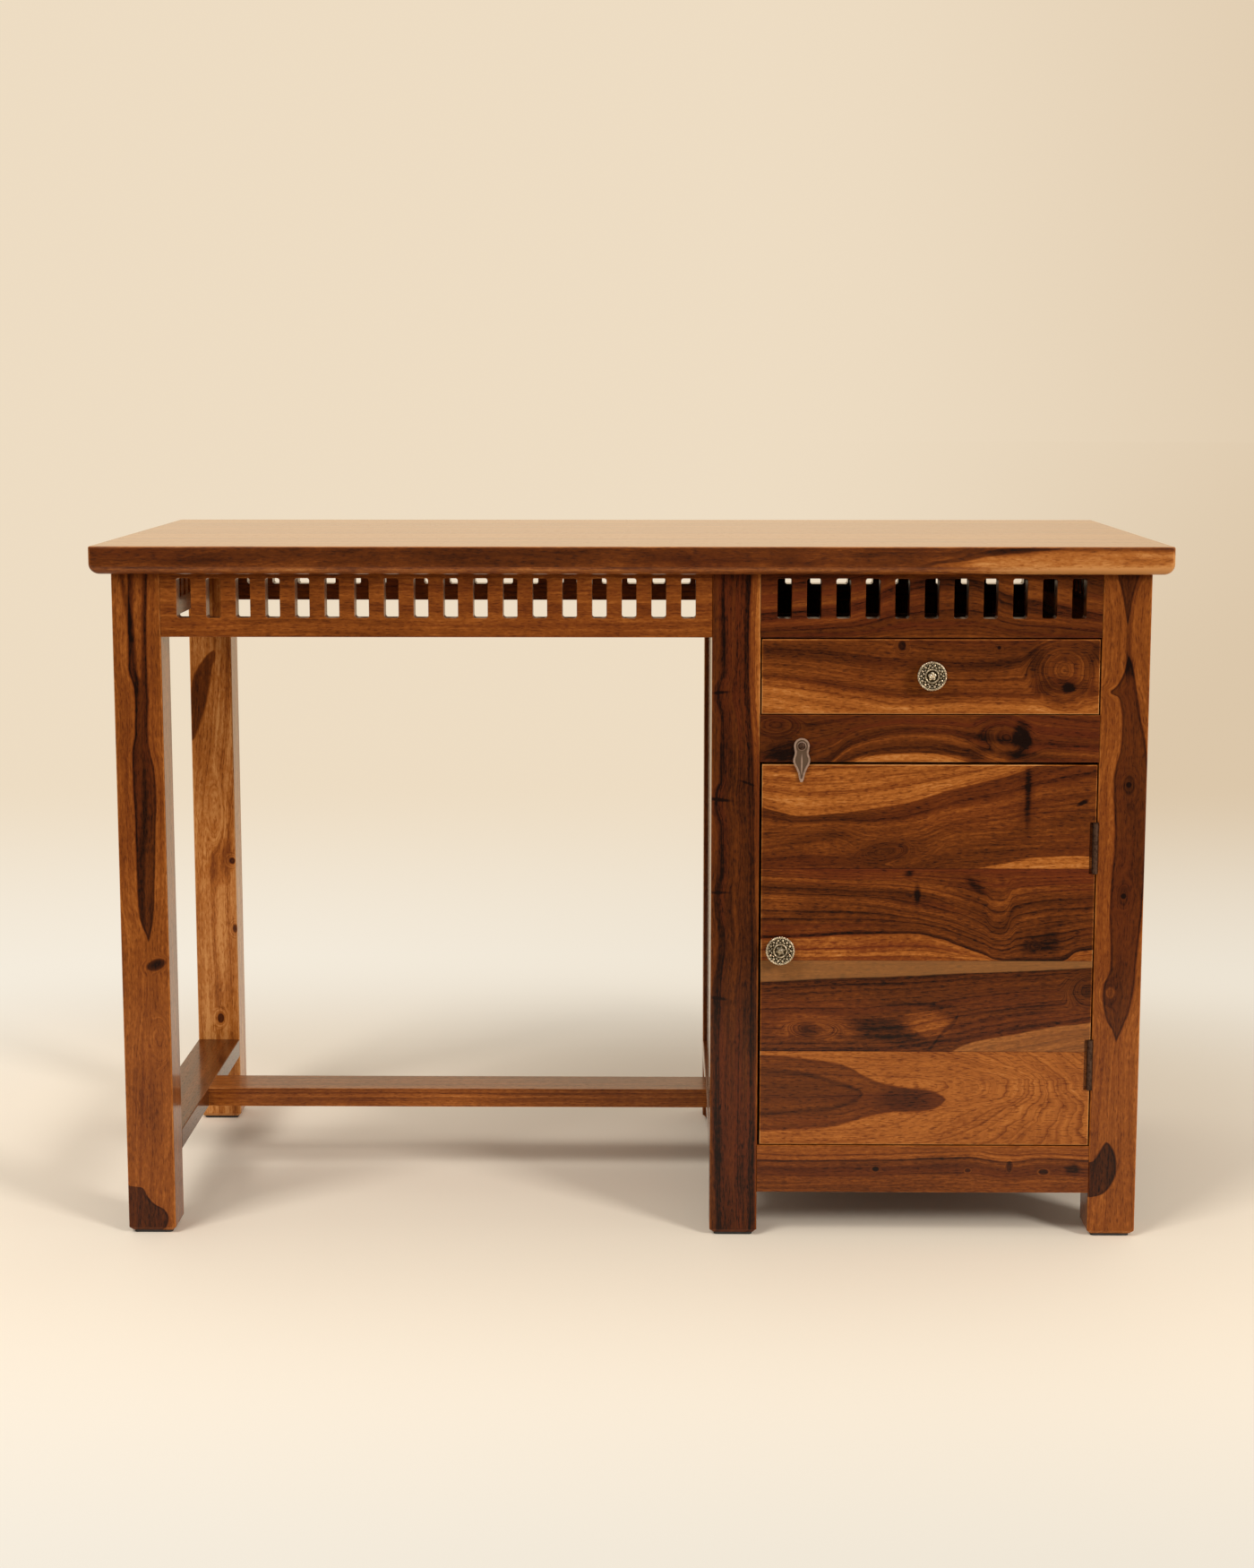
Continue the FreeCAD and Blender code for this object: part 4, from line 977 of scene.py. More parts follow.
# The button leaf's pale raised edge is a painted highlight, and its dark sunk face painted shade.
AGED_IRON = Metal(light=(0.5, 0.345, 0.26), dark=(0.15, 0.095, 0.06), rough=0.46,
                  grain=0.0046, metal=0.8, shaded_hollow=(-0.262, -0.2627))
STEEL = Metal(light=(0.55, 0.54, 0.52), dark=(0.34, 0.33, 0.32), rough=0.3)
ZINC = Metal(light=(0.6, 0.59, 0.56), dark=(0.42, 0.41, 0.38), rough=0.38, grain=0.006)
BLACK_PAD = Moulded(colour=(0.018, 0.017, 0.016))


def paint(material: bpy.types.Material, *nodes: str) -> None:
    """Give construction nodes one material.

    Args:
        material: The material.
        *nodes: The nodes' names.
    """
    for node in nodes:
        slots = NODES[node].data.materials
        slots.clear()
        slots.append(material)
        LOG.info("%s: %s", node, material.name)


def dress_each(woods: dict[str, Wood]) -> None:
    """Give each board its own wood."""
    for node, wood in woods.items():
        paint(wood.dress(node + "_wood"), node)


@dataclass
class Worktop:
    """The broad slab on top, glued from five boards.

    Attributes:
        finish: Its wood.
    """

    finish: Wood = Wood(
        grain=Grain.FLAT, face=0.745, base=0.22, seed=1.0, slope=0.35, wander=0.02,
        band_pitch=0.045,
        bands=0.62, lines=0.14, line_pitch=0.018, stave=0.118, gloss=0.3, lustre=1.28, coat=0.85,
        coat_index=1.24, cloud=0.2,
        sapwood=PAINTED_TOP_SHEEN,
        contours=(((-0.58, -0.2745), (0.58, -0.2745)), ((-0.58, -0.262), (0.58, -0.262))),
        tones=((-0.55, 0.12), (-0.36, 0.2), (-0.28, 0.29), (-0.1, 0.29), (0.25, 0.14),
               (0.7, 0.0), (1.0, 0.0)),
        # The first vein makes the whole top face paler and half tan, a painted sheen.
        veins=(
            Vein(low=((-0.6, -0.2735),), high=((-0.6, 0.4),), tone=-0.1, soft=0.002, sap=0.5),
            Vein(low=((0.3, -0.282), (0.34, -0.2806), (0.43, -0.2764), (0.46, -0.2756)),
                 high=((0.3, -0.2822), (0.34, -0.2792), (0.43, -0.2752), (0.46, -0.2758)), tone=0.3,
                 soft=0.0004),
        ),
        figures=(
            Figure((0.52, -0.281), (0.17, 0.005), tone=-0.45, soft=0.3),
            Figure((-0.16, -0.28), (0.05, 0.006), tone=0.08, soft=0.6),
        ),
    )

    def build(self) -> None:
        """Dress the slab."""
        paint(self.finish.dress("worktop_wood"), "tabletop")


# Where the best faces of the boards at the back lie, on the axis into the board.
BACK_FACE = 0.208

LEG = Wood(grain=Grain.TALL, wander=0.004, band_pitch=0.01, bands=0.1, lines=0.12, streaks=0.13)

# The edges of the dark vein in the front left leg.
LEFT_VEIN_LOW: Curve = (
    (0.375, -0.5355), (0.45, -0.5362), (0.533, -0.5367), (0.56, -0.5333), (0.6, -0.533),
    (0.633, -0.5385), (0.73, -0.537),
)
LEFT_VEIN_HIGH: Curve = (
    (0.375, -0.5177), (0.434, -0.5154), (0.492, -0.5128), (0.544, -0.5188), (0.56, -0.5197),
    (0.6, -0.5185), (0.633, -0.519), (0.73, -0.5153),
)

# The edges of the dark vein in the front right leg.
RIGHT_VEIN_LOW: Curve = (
    (0.233, 0.5253), (0.276, 0.5142), (0.3066, 0.5208), (0.382, 0.5188), (0.438, 0.5224),
    (0.508, 0.5193),
)
RIGHT_VEIN_HIGH: Curve = (
    (0.2406, 0.5375), (0.2686, 0.5454), (0.3446, 0.5519), (0.382, 0.5545), (0.5, 0.557),
    (0.53, 0.5545), (0.583, 0.5447),
)

LEG_FRONT_LEFT = replace(
    LEG, base=0.36, seed=2.0,
    contours=(
        ((0.0, -0.545), (0.2, -0.536), (0.32, -0.528), *LEFT_VEIN_LOW),
        ((0.0, -0.528), (0.2, -0.522), (0.32, -0.5235), *LEFT_VEIN_HIGH),
    ),
    veins=(
        Vein(low=((0.325, -0.5245), (0.334, -0.5262), *LEFT_VEIN_LOW),
             high=((0.325, -0.5275), (0.334, -0.5235), *LEFT_VEIN_HIGH), tone=0.34, rim=0.2),
        Vein(low=((0.33, -0.526), (0.4, -0.5335), (0.47, -0.5285), (0.56, -0.5255)),
             high=((0.33, -0.53), (0.4, -0.527), (0.47, -0.5225), (0.56, -0.5275)), tone=0.2,
             soft=0.002),
        Vein(low=((0.575, -0.53), (0.61, -0.532), (0.73, -0.546)),
             high=((0.575, -0.532), (0.61, -0.529), (0.73, -0.541)), tone=0.26, soft=0.002),
        Vein(low=((0.61, -0.522), (0.64, -0.533), (0.73, -0.5315)),
             high=((0.61, -0.526), (0.64, -0.524), (0.73, -0.5205)), tone=-0.3, soft=0.002),
        Vein(low=((0.0, -0.6),),
             high=((0.0, -0.518), (0.01, -0.5125), (0.018, -0.511), (0.026, -0.5145),
                   (0.034, -0.526), (0.042, -0.5327), (0.052, -0.5385), (0.054, -0.5519),
                   (0.06, -0.564)),
             tone=0.4, rim=0.14, rim_width=0.006),
    ),
    figures=(
        Figure((0.3035, -0.5172), (0.0054, 0.0104), tone=0.5, rings=2.0, turn=-20.0),
        Figure((0.22, -0.516), (0.02, 0.01), tone=0.0, rings=2.0),
        Figure((0.13, -0.53), (0.05, 0.012), tone=0.1, soft=0.8),
    ),
)

LEG_BACK_LEFT = replace(
    LEG, face=BACK_FACE, base=0.13, seed=3.0, bands=0.16, cloud=0.26, lines=0.18,
    contours=(
        ((0.1, -0.56), (0.33, -0.556), (0.42, -0.549), (0.53, -0.538), (0.62, -0.53),
         (0.73, -0.527)),
        ((0.1, -0.53), (0.3, -0.532), (0.4, -0.526), (0.46, -0.517), (0.56, -0.508),
         (0.73, -0.503)),
    ),
    veins=(
        Vein(low=((0.484, -0.56), (0.562, -0.552), (0.58, -0.544), (0.595, -0.533),
                  (0.602, -0.524)),
             high=((0.484, -0.558), (0.493, -0.55), (0.518, -0.5415), (0.546, -0.533),
                   (0.58, -0.527), (0.595, -0.522), (0.602, -0.5235)), tone=0.42, soft=0.002),
        Vein(low=((0.5, -0.525), (0.56, -0.5195), (0.6, -0.512)),
             high=((0.5, -0.5265), (0.56, -0.5175), (0.6, -0.5135)), tone=0.2),
    ),
    figures=(
        Figure((0.33, -0.522), (0.028, 0.012), tone=0.22, soft=0.7, turn=20.0),
        Figure((0.4, -0.528), (0.05, 0.012), tone=0.0, rings=1.4),
        Figure((0.335, -0.507), (0.004, 0.004), tone=0.55, rings=3.0),
        Figure((0.248, -0.505), (0.005, 0.003), tone=0.55, rings=3.0),
        Figure((0.132, -0.526), (0.006, 0.004), tone=0.6, rings=3.0),
    ),
)

LEG_FRONT_MIDDLE = replace(
    LEG, base=0.53, seed=4.0, lines=0.26, streaks=0.2, red=0.4,
    contours=(
        ((0.0, 0.094), (0.27, 0.0905), (0.33, 0.0955), (0.38, 0.091), (0.411, 0.0954),
         (0.457, 0.0952), (0.487, 0.0893), (0.508, 0.0949), (0.572, 0.0957), (0.6015, 0.0899),
         (0.629, 0.0966), (0.73, 0.096)),
        ((0.0, 0.137), (0.372, 0.1345), (0.526, 0.1323), (0.663, 0.1268), (0.73, 0.1286)),
    ),
    tones=((-0.5, 0.16), (-0.05, 0.17), (0.06, 0.36), (0.16, 0.26), (0.5, 0.19), (0.84, 0.26),
           (0.93, 0.34), (1.01, 0.08), (1.3, 0.02)),
    figures=(
        Figure((0.66, 0.139), (0.13, 0.011), tone=-0.34, soft=0.45),
        Figure((0.487, 0.095), (0.0016, 0.011), tone=0.34, soft=0.7, turn=6.0),
        Figure((0.603, 0.096), (0.0014, 0.01), tone=0.26, soft=0.7, turn=-5.0),
        Figure((0.385, 0.096), (0.0014, 0.009), tone=0.24, soft=0.7),
        Figure((0.268, 0.095), (0.0016, 0.009), tone=0.24, soft=0.7, turn=8.0),
        Figure((0.505, 0.126), (0.0012, 0.008), tone=0.24, soft=0.7, turn=20.0),
        Figure((0.06, 0.116), (0.07, 0.018), tone=0.1, soft=0.8),
    ),
)

LEG_FRONT_RIGHT = replace(
    LEG, base=0.38, seed=6.0,
    contours=(
        ((0.0, 0.512), (0.2, 0.524), *RIGHT_VEIN_LOW, (0.559, 0.5263), (0.59, 0.524), (0.6, 0.5185),
         (0.6037, 0.5145), (0.608, 0.518), (0.6287, 0.5276), (0.66, 0.528), (0.73, 0.517)),
        ((0.0, 0.54), (0.2, 0.533), *RIGHT_VEIN_HIGH, (0.631, 0.535), (0.66, 0.532),
         (0.73, 0.5417)),
    ),
    veins=(
        Vein(low=((0.215, 0.531), (0.2214, 0.5288), *RIGHT_VEIN_LOW, (0.523, 0.5213),
                  (0.559, 0.5263), (0.592, 0.524), (0.6005, 0.519), (0.6037, 0.5135),
                  (0.6075, 0.5175), (0.616, 0.523), (0.63, 0.5285), (0.648, 0.5325)),
             high=((0.215, 0.5275), (0.2214, 0.5295), *RIGHT_VEIN_HIGH, (0.631, 0.5362),
                   (0.648, 0.529)),
             tone=0.3, rim=0.22),
        Vein(low=((0.668, 0.532), (0.683, 0.5283), (0.707, 0.5234), (0.731, 0.5169)),
             high=((0.668, 0.5285), (0.683, 0.531), (0.707, 0.5345), (0.731, 0.5417)), tone=0.3,
             rim=0.16, rim_width=0.003),
        Vein(low=((0.0446, 0.516), (0.05, 0.49), (0.08, 0.49), (0.086, 0.508), (0.104, 0.519),
                  (0.1085, 0.5225)),
             high=((0.044, 0.5), (0.05, 0.52), (0.0622, 0.529), (0.078, 0.5333),
                   (0.093, 0.5315), (0.104, 0.5265), (0.1085, 0.5215)), tone=0.44, rim=0.2,
             soft=0.002),
    ),
    figures=(
        Figure((0.655, 0.5305), (0.024, 0.0024), tone=0.2, soft=0.9),
        Figure((0.632, 0.5325), (0.012, 0.004), tone=0.24, soft=0.9),
        Figure((0.504, 0.5354), (0.012, 0.0065), tone=0.12, rings=3.0),
        Figure((0.382, 0.533), (0.013, 0.0065), tone=0.12, rings=3.0),
        Figure((0.275, 0.5212), (0.0065, 0.005), tone=-0.1, rings=3.4),
        Figure((0.504, 0.5354), (0.003, 0.003), tone=0.3),
        Figure((0.382, 0.533), (0.003, 0.003), tone=0.3),
    ),
)


@dataclass
class Posts:
    """The six legs and their glides.

    Attributes:
        woods: The wood of each leg.
    """

    woods: dict[str, Wood] = field(default_factory=lambda: {
        "leg_front_left": LEG_FRONT_LEFT,
        "leg_back_left": LEG_BACK_LEFT,
        "leg_front_middle": LEG_FRONT_MIDDLE,
        "leg_back_middle": replace(LEG, face=BACK_FACE, base=0.45, seed=5.0),
        "leg_front_right": LEG_FRONT_RIGHT,
        "leg_back_right": replace(LEG, face=BACK_FACE, base=0.4, seed=7.0),
    })

    def build(self) -> None:
        """Dress each leg and the glides."""
        dress_each(self.woods)
        paint(BLACK_PAD.dress("black_pad"), "foot_glides")


APRON_FRONT_CABINET = Wood(
    base=0.64, seed=12.0, red=0.5, lines=0.26, coat=0.4, painted_edge_highlight=0.08,
    contours=(
        ((0.14, 0.66), (0.24, 0.664), (0.33, 0.672), (0.42, 0.664), (0.5, 0.66)),
        ((0.14, 0.68), (0.22, 0.686), (0.3, 0.712), (0.35, 0.716), (0.4, 0.694), (0.5, 0.68)),
        ((0.14, 0.715), (0.25, 0.725), (0.32, 0.752), (0.38, 0.745), (0.5, 0.712)),
    ),
    tones=((0.0, -0.06), (0.4, 0.08), (0.8, -0.14), (1.1, 0.1), (1.5, -0.12), (2.0, 0.06)),
)

DRAWER_RAIL = Wood(
    base=0.66, seed=18.0, lines=0.34, bands=0.26, red=0.5,
    contours=(
        ((0.14, 0.5), (0.2, 0.515), (0.235, 0.528), (0.3, 0.54), (0.365, 0.53), (0.5, 0.52)),
        ((0.14, 0.505), (0.21, 0.528), (0.253, 0.555), (0.327, 0.563), (0.37, 0.556), (0.5, 0.545)),
        ((0.14, 0.56), (0.25, 0.58), (0.33, 0.585), (0.5, 0.575)),
    ),
    tones=((-1.0, -0.1), (0.0, 0.0), (0.4, 0.06), (0.7, -0.16), (1.0, 0.08), (1.3, -0.08),
           (2.0, 0.05)),
    figures=(
        Figure((0.3003, 0.5262), (0.064, 0.0112), tone=-0.42, soft=0.12),
        Figure((0.403, 0.555), (0.028, 0.02), tone=0.12, rings=1.7, soft=0.5, turn=-20.0),
        Figure((0.42, 0.556), (0.009, 0.017), tone=0.3, soft=0.5),
        Figure((0.3933, 0.5333), (0.013, 0.008), tone=-0.26, soft=0.6),
        Figure((0.165, 0.538), (0.022, 0.014), tone=0.3, soft=0.7),
        Figure((0.155, 0.568), (0.016, 0.008), tone=0.0, rings=2.2),
    ),
)

BOTTOM_RAIL_FRONT = Wood(
    base=0.5, seed=19.0, lines=0.3,
    contours=(
        ((0.14, 0.05), (0.5, 0.05)),
        ((0.14, 0.0861), (0.27, 0.0866), (0.37, 0.0903), (0.416, 0.0854), (0.453, 0.0889),
         (0.5, 0.0874)),
        ((0.14, 0.103), (0.5, 0.103)),
    ),
    tones=((0.0, 0.02), (0.7, 0.08), (0.93, 0.14), (0.975, 0.36), (1.03, -0.14), (2.0, -0.1)),
    figures=(
        Figure((0.2695, 0.0765), (0.004, 0.003), tone=0.36, rings=1.8),
        Figure((0.3706, 0.0751), (0.003, 0.002), tone=0.3, rings=1.8),
        Figure((0.4162, 0.0787), (0.003, 0.006), tone=0.3, rings=1.6),
        Figure((0.4538, 0.0738), (0.005, 0.003), tone=0.36, rings=1.8),
        Figure((0.4863, 0.0772), (0.008, 0.006), tone=0.26, soft=0.6),
    ),
)


@dataclass
class Rails:
    """The aprons, rails and stretchers between the legs.

    Attributes:
        woods: The wood of each board.
    """

    woods: dict[str, Wood] = field(default_factory=lambda: {
        "apron_front_knee": Wood(base=0.4, seed=11.0, bands=0.12, lines=0.12, cloud=0.2, coat=0.4,
                                 painted_edge_highlight=0.08),
        "apron_front_cabinet": APRON_FRONT_CABINET,
        "apron_back_knee": Wood(face=BACK_FACE, base=0.58, seed=13.0),
        "apron_back_cabinet": Wood(face=BACK_FACE, base=0.5, seed=14.0),
        "apron_left": Wood(grain=Grain.DEEP, base=0.46, seed=15.0),
        "apron_middle": Wood(grain=Grain.DEEP, base=0.46, seed=16.0),
        "apron_right": Wood(grain=Grain.DEEP, base=0.44, seed=17.0),
        "drawer_rail": DRAWER_RAIL,
        "bottom_rail_front": BOTTOM_RAIL_FRONT,
        "bottom_rail_back": Wood(base=0.48, seed=20.0),
        "stretcher_left": Wood(
            grain=Grain.DEEP_FLAT, base=0.58, seed=21.0, sapwood=(0.15, 0.086, 0.058),
            veins=(Vein(low=((-0.3, -0.6),), high=((-0.3, -0.4),), tone=0.04, sap=0.72),),
        ),
        "stretcher_middle": Wood(grain=Grain.DEEP_FLAT, base=0.5, seed=22.0),
        "stretcher_right": Wood(grain=Grain.DEEP_FLAT, base=0.5, seed=23.0),
        "stretcher_long": Wood(grain=Grain.FLAT, base=0.34, seed=24.0, slope=1.5),
    })

    def build(self) -> None:
        """Dress each board."""
        dress_each(self.woods)


# Plain wood without lacquer, and a panel glued from narrow staves.
PLAIN = Wood(grain=Grain.DEEP, bands=0.14, lines=0.16, gloss=0.5, coat=0.0, painted_edge_highlight=0.0)
STAVED = Wood(grain=Grain.FLAT, band_pitch=0.02, stave=0.12)


@dataclass
class Cabinet:
    """The cabinet's panels, floor, shelf and inner battens.

    Attributes:
        woods: The wood of each board.
        inner: Plain wood for what isn't seen from outside.
        inner_nodes: The pieces made of it.
    """

    woods: dict[str, Wood] = field(default_factory=lambda: {
        "side_panel_left": replace(STAVED, grain=Grain.PANEL, base=0.48, seed=31.0, stave=0.11),
        "side_panel_right": replace(STAVED, grain=Grain.PANEL, base=0.45, seed=32.0, stave=0.11),
        "back_panel": replace(STAVED, grain=Grain.TALL, base=0.45, seed=33.0),
        "cabinet_floor": replace(STAVED, base=0.48, seed=34.0),
        "cabinet_shelf": replace(STAVED, base=0.42, seed=35.0),
    })
    inner: Wood = replace(PLAIN, base=0.26, seed=36.0)
    inner_nodes: tuple[str, ...] = (
        "floor_cleats", "shelf_cleats", "drawer_runner_left", "drawer_runner_right",
        "drawer_kickers", "drawer_stops", "door_stop",
    )

    def build(self) -> None:
        """Dress each board."""
        dress_each(self.woods)
        paint(self.inner.dress("inner_wood"), *self.inner_nodes)


DRAWER_FRONT = Wood(
    base=0.52, seed=43.0, bands=0.12, pores=0.2, wander=0.004, bare_top=True,
    outline_highlight=(0.1405, 0.5015, 0.58, 0.6603),
    contours=(
        ((0.14, 0.566), (0.3, 0.552), (0.43, 0.556), (0.463, 0.55), (0.5, 0.56)),
        ((0.14, 0.6205), (0.1915, 0.6157), (0.2527, 0.6047), (0.3016, 0.5986), (0.35, 0.601),
         (0.4, 0.6), (0.436, 0.597), (0.468, 0.5907), (0.485, 0.597), (0.504, 0.6026)),
        ((0.14, 0.644), (0.2, 0.64), (0.27, 0.632), (0.36, 0.629), (0.42, 0.634), (0.504, 0.645)),
        ((0.14, 0.668), (0.24, 0.664), (0.3, 0.655), (0.37, 0.652), (0.504, 0.668)),
    ),
    tones=((0.0, -0.3), (0.6, -0.28), (0.94, -0.16), (1.1, 0.0), (1.4, -0.1), (1.8, 0.02),
           (2.2, 0.1), (3.0, 0.06)),
    figures=(
        Figure((0.4633, 0.6271), (0.028, 0.027), tone=0.0, rings=1.7),
        Figure((0.46, 0.638), (0.02, 0.01), tone=-0.06, soft=0.8, turn=-12.0),
        Figure((0.46, 0.6105), (0.024, 0.0085), tone=0.28, soft=0.7),
        Figure((0.4686, 0.6087), (0.006, 0.0045), tone=0.46, soft=0.6),
        Figure((0.436, 0.627), (0.009, 0.022), tone=0.18, soft=0.9, turn=12.0),
        Figure((0.492, 0.63), (0.006, 0.02), tone=0.14, soft=0.8, turn=-15.0),
        Figure((0.2898, 0.6538), (0.0035, 0.0045), tone=0.36, rings=2.6),
        Figure((0.3934, 0.6515), (0.0018, 0.0018), tone=0.5, rings=3.0),
    ),
)


@dataclass
class Drawer:
    """The drawer's figured front and plain box.

    Attributes:
        front: The front's wood.
        box: The box's wood.
    """

    front: Wood = DRAWER_FRONT
    box: Wood = replace(PLAIN, base=0.22, seed=42.0)

    def build(self) -> None:
        """Dress the front and the box."""
        paint(self.front.dress("drawer_front_wood"), "drawer_front")
        paint(self.box.dress("drawer_side_wood"), "drawer_side_left", "drawer_side_right")
        paint(replace(self.box, grain=Grain.WIDE).dress("drawer_back_wood"), "drawer_back")
        paint(replace(self.box, grain=Grain.FLAT).dress("drawer_bottom_wood"), "drawer_bottom")


BOARD = Wood(slope=0.5, wander=0.003, bands=0.16, pores=0.2, fibre=0.21)

# The edges of the dark tongue in the lowest board, and of the sapwood in the second.
TONGUE_LOW: Curve = (
    (0.1, 0.118), (0.1437, 0.12), (0.1902, 0.1225), (0.2183, 0.1241), (0.2408, 0.1299),
    (0.2605, 0.1358), (0.2913, 0.1417), (0.3138, 0.1418), (0.3307, 0.1448), (0.348, 0.158),
)
TONGUE_HIGH: Curve = (
    (0.1, 0.206), (0.1431, 0.2049), (0.1894, 0.2007), (0.2175, 0.1965), (0.2401, 0.1908),
    (0.2542, 0.1821), (0.274, 0.1735), (0.3022, 0.1678), (0.3275, 0.165), (0.348, 0.1535),
)
SAP_EDGE: Curve = (
    (0.14, 0.2868), (0.2165, 0.2898), (0.3281, 0.2944), (0.4118, 0.2989), (0.52, 0.3032),
)

DOOR_BOARD_LOWEST = replace(
    BOARD, base=0.26, seed=51.0, bands=0.07, lines=0.22, streaks=0.12, fibre=0.15,
    outline_highlight=(0.1414, 0.5016, 0.1042, 0.5252),
    veins=(
        Vein(low=TONGUE_LOW, high=TONGUE_HIGH, tone=0.27, soft=0.0018, rim=0.12, rim_width=0.006),
        Vein(low=((0.1435, 0.1366), (0.1837, 0.1398), (0.2219, 0.1434), (0.2464, 0.1526),
                  (0.257, 0.164)),
             high=((0.1434, 0.1898), (0.1833, 0.1862), (0.2216, 0.1762), (0.2462, 0.1682),
                   (0.257, 0.16)), tone=0.08, soft=0.0024, rim=0.2, rim_width=0.007),
    ),
    figures=(
        Figure((0.205, 0.161), (0.14, 0.045), tone=0.0, rings=3.6, mark=Mark.TONGUE),
        Figure((0.3, 0.17), (0.085, 0.016), tone=0.0, rings=2.2, mark=Mark.TONGUE),
        Figure((0.303, 0.156), (0.032, 0.013), tone=0.24, soft=0.6),
    ),
)

DOOR_BOARD_SECOND = replace(
    BOARD, base=0.6, seed=52.0, lines=0.26,
    contours=(
        ((0.14, 0.188), (0.352, 0.2), (0.414, 0.215), (0.52, 0.235)),
        ((0.14, 0.228), (0.25, 0.226), (0.35, 0.24), (0.4, 0.25), (0.52, 0.262)),
        SAP_EDGE,
        ((0.14, 0.312), (0.52, 0.312)),
    ),
    tones=((0.0, 0.1), (1.0, 0.0), (1.6, 0.02), (1.93, 0.1), (1.98, 0.2), (2.05, -0.22),
           (3.0, -0.26)),
    veins=(
        Vein(low=SAP_EDGE, high=((0.14, 0.33),), tone=0.02, sap=0.58),
        Vein(low=((0.14, 0.19),),
             high=((0.345, 0.2), (0.352, 0.2093), (0.3714, 0.2186), (0.4133, 0.2273),
                   (0.455, 0.2361), (0.5114, 0.2425)), tone=-0.36, sap=0.3),
        Vein(low=((0.318, 0.2045), (0.3267, 0.21), (0.3404, 0.2285), (0.3542, 0.241),
                  (0.359, 0.257)),
             high=((0.318, 0.2095), (0.3267, 0.2145), (0.3404, 0.233), (0.3542, 0.247),
                   (0.359, 0.2545)),
             tone=0.2, soft=0.0018),
        Vein(low=((0.24, 0.263), (0.27, 0.2605), (0.3, 0.2605), (0.345, 0.258), (0.3605, 0.257)),
             high=((0.24, 0.259), (0.27, 0.2622), (0.3, 0.2636), (0.345, 0.2622), (0.3605, 0.253)),
             tone=0.2, soft=0.0018),
    ),
    figures=(
        Figure((0.1985, 0.235), (0.048, 0.0175), tone=-0.13, rings=0.8, soft=0.25),
        Figure((0.1925, 0.2335), (0.01, 0.007), tone=0.32, soft=0.8),
        Figure((0.19, 0.22), (0.018, 0.004), tone=0.14, soft=0.8),
        Figure((0.275, 0.233), (0.04, 0.0115), tone=0.19, soft=0.45, turn=-17.0),
        Figure((0.3263, 0.24), (0.026, 0.013), tone=-0.26, soft=0.4, turn=-8.0),
        Figure((0.498, 0.2763), (0.016, 0.015), tone=0.16, rings=2.0, soft=0.5),
        Figure((0.4238, 0.2561), (0.045, 0.006), tone=0.14, soft=0.8, turn=6.0),
    ),
)

DOOR_BOARD_THIRD = replace(
    BOARD, base=0.56, seed=53.0, lines=0.36, red=0.55,
    contours=(
        ((0.14, 0.309), (0.52, 0.309)),
        ((0.14, 0.3347), (0.202, 0.3369), (0.2577, 0.3398), (0.2995, 0.3405), (0.333, 0.3352),
         (0.3555, 0.3273), (0.3835, 0.3174), (0.4115, 0.3099), (0.4617, 0.3099), (0.4837, 0.3196),
         (0.5092, 0.3243)),
        ((0.14, 0.376), (0.182, 0.374), (0.2433, 0.372), (0.299, 0.364), (0.3409, 0.356),
         (0.3831, 0.3402), (0.404, 0.333), (0.418, 0.342), (0.455, 0.349), (0.5, 0.356)),
        ((0.14, 0.393), (0.22, 0.39), (0.3, 0.386), (0.35, 0.374), (0.385, 0.358),
         (0.401, 0.3475), (0.413, 0.37), (0.44, 0.378), (0.52, 0.384)),
        ((0.14, 0.415), (0.3, 0.412), (0.52, 0.412)),
    ),
    tones=((0.0, -0.3), (0.9, -0.26), (0.99, -0.2), (1.02, 0.22), (1.1, 0.06), (1.5, 0.04),
           (1.9, 0.0), (2.0, 0.14), (2.1, -0.1), (2.5, 0.0), (3.0, 0.1), (3.2, -0.04), (4.0, 0.0)),
    figures=(
        Figure((0.3013, 0.4065), (0.0055, 0.0035), tone=0.36, soft=0.7, turn=20.0),
        Figure((0.3105, 0.384), (0.0028, 0.0085), tone=0.4, soft=0.7),
        Figure((0.3738, 0.393), (0.012, 0.004), tone=0.3, soft=0.8, turn=-42.0),
        Figure((0.374, 0.385), (0.02, 0.015), tone=0.1, soft=0.8, turn=-30.0),
        Figure((0.356, 0.369), (0.03, 0.007), tone=-0.12, soft=0.8, turn=-28.0),
        Figure((0.46, 0.356), (0.04, 0.006), tone=0.12, soft=0.9, turn=12.0),
        Figure((0.438, 0.327), (0.011, 0.009), tone=0.26, rings=0.7, soft=0.8),
        Figure((0.456, 0.332), (0.008, 0.011), tone=0.24, soft=0.8, turn=20.0),
        Figure((0.164, 0.3723), (0.018, 0.011), tone=-0.16, soft=0.8),
        Figure((0.4596, 0.3984), (0.018, 0.006), tone=0.08, soft=0.9),
    ),
)

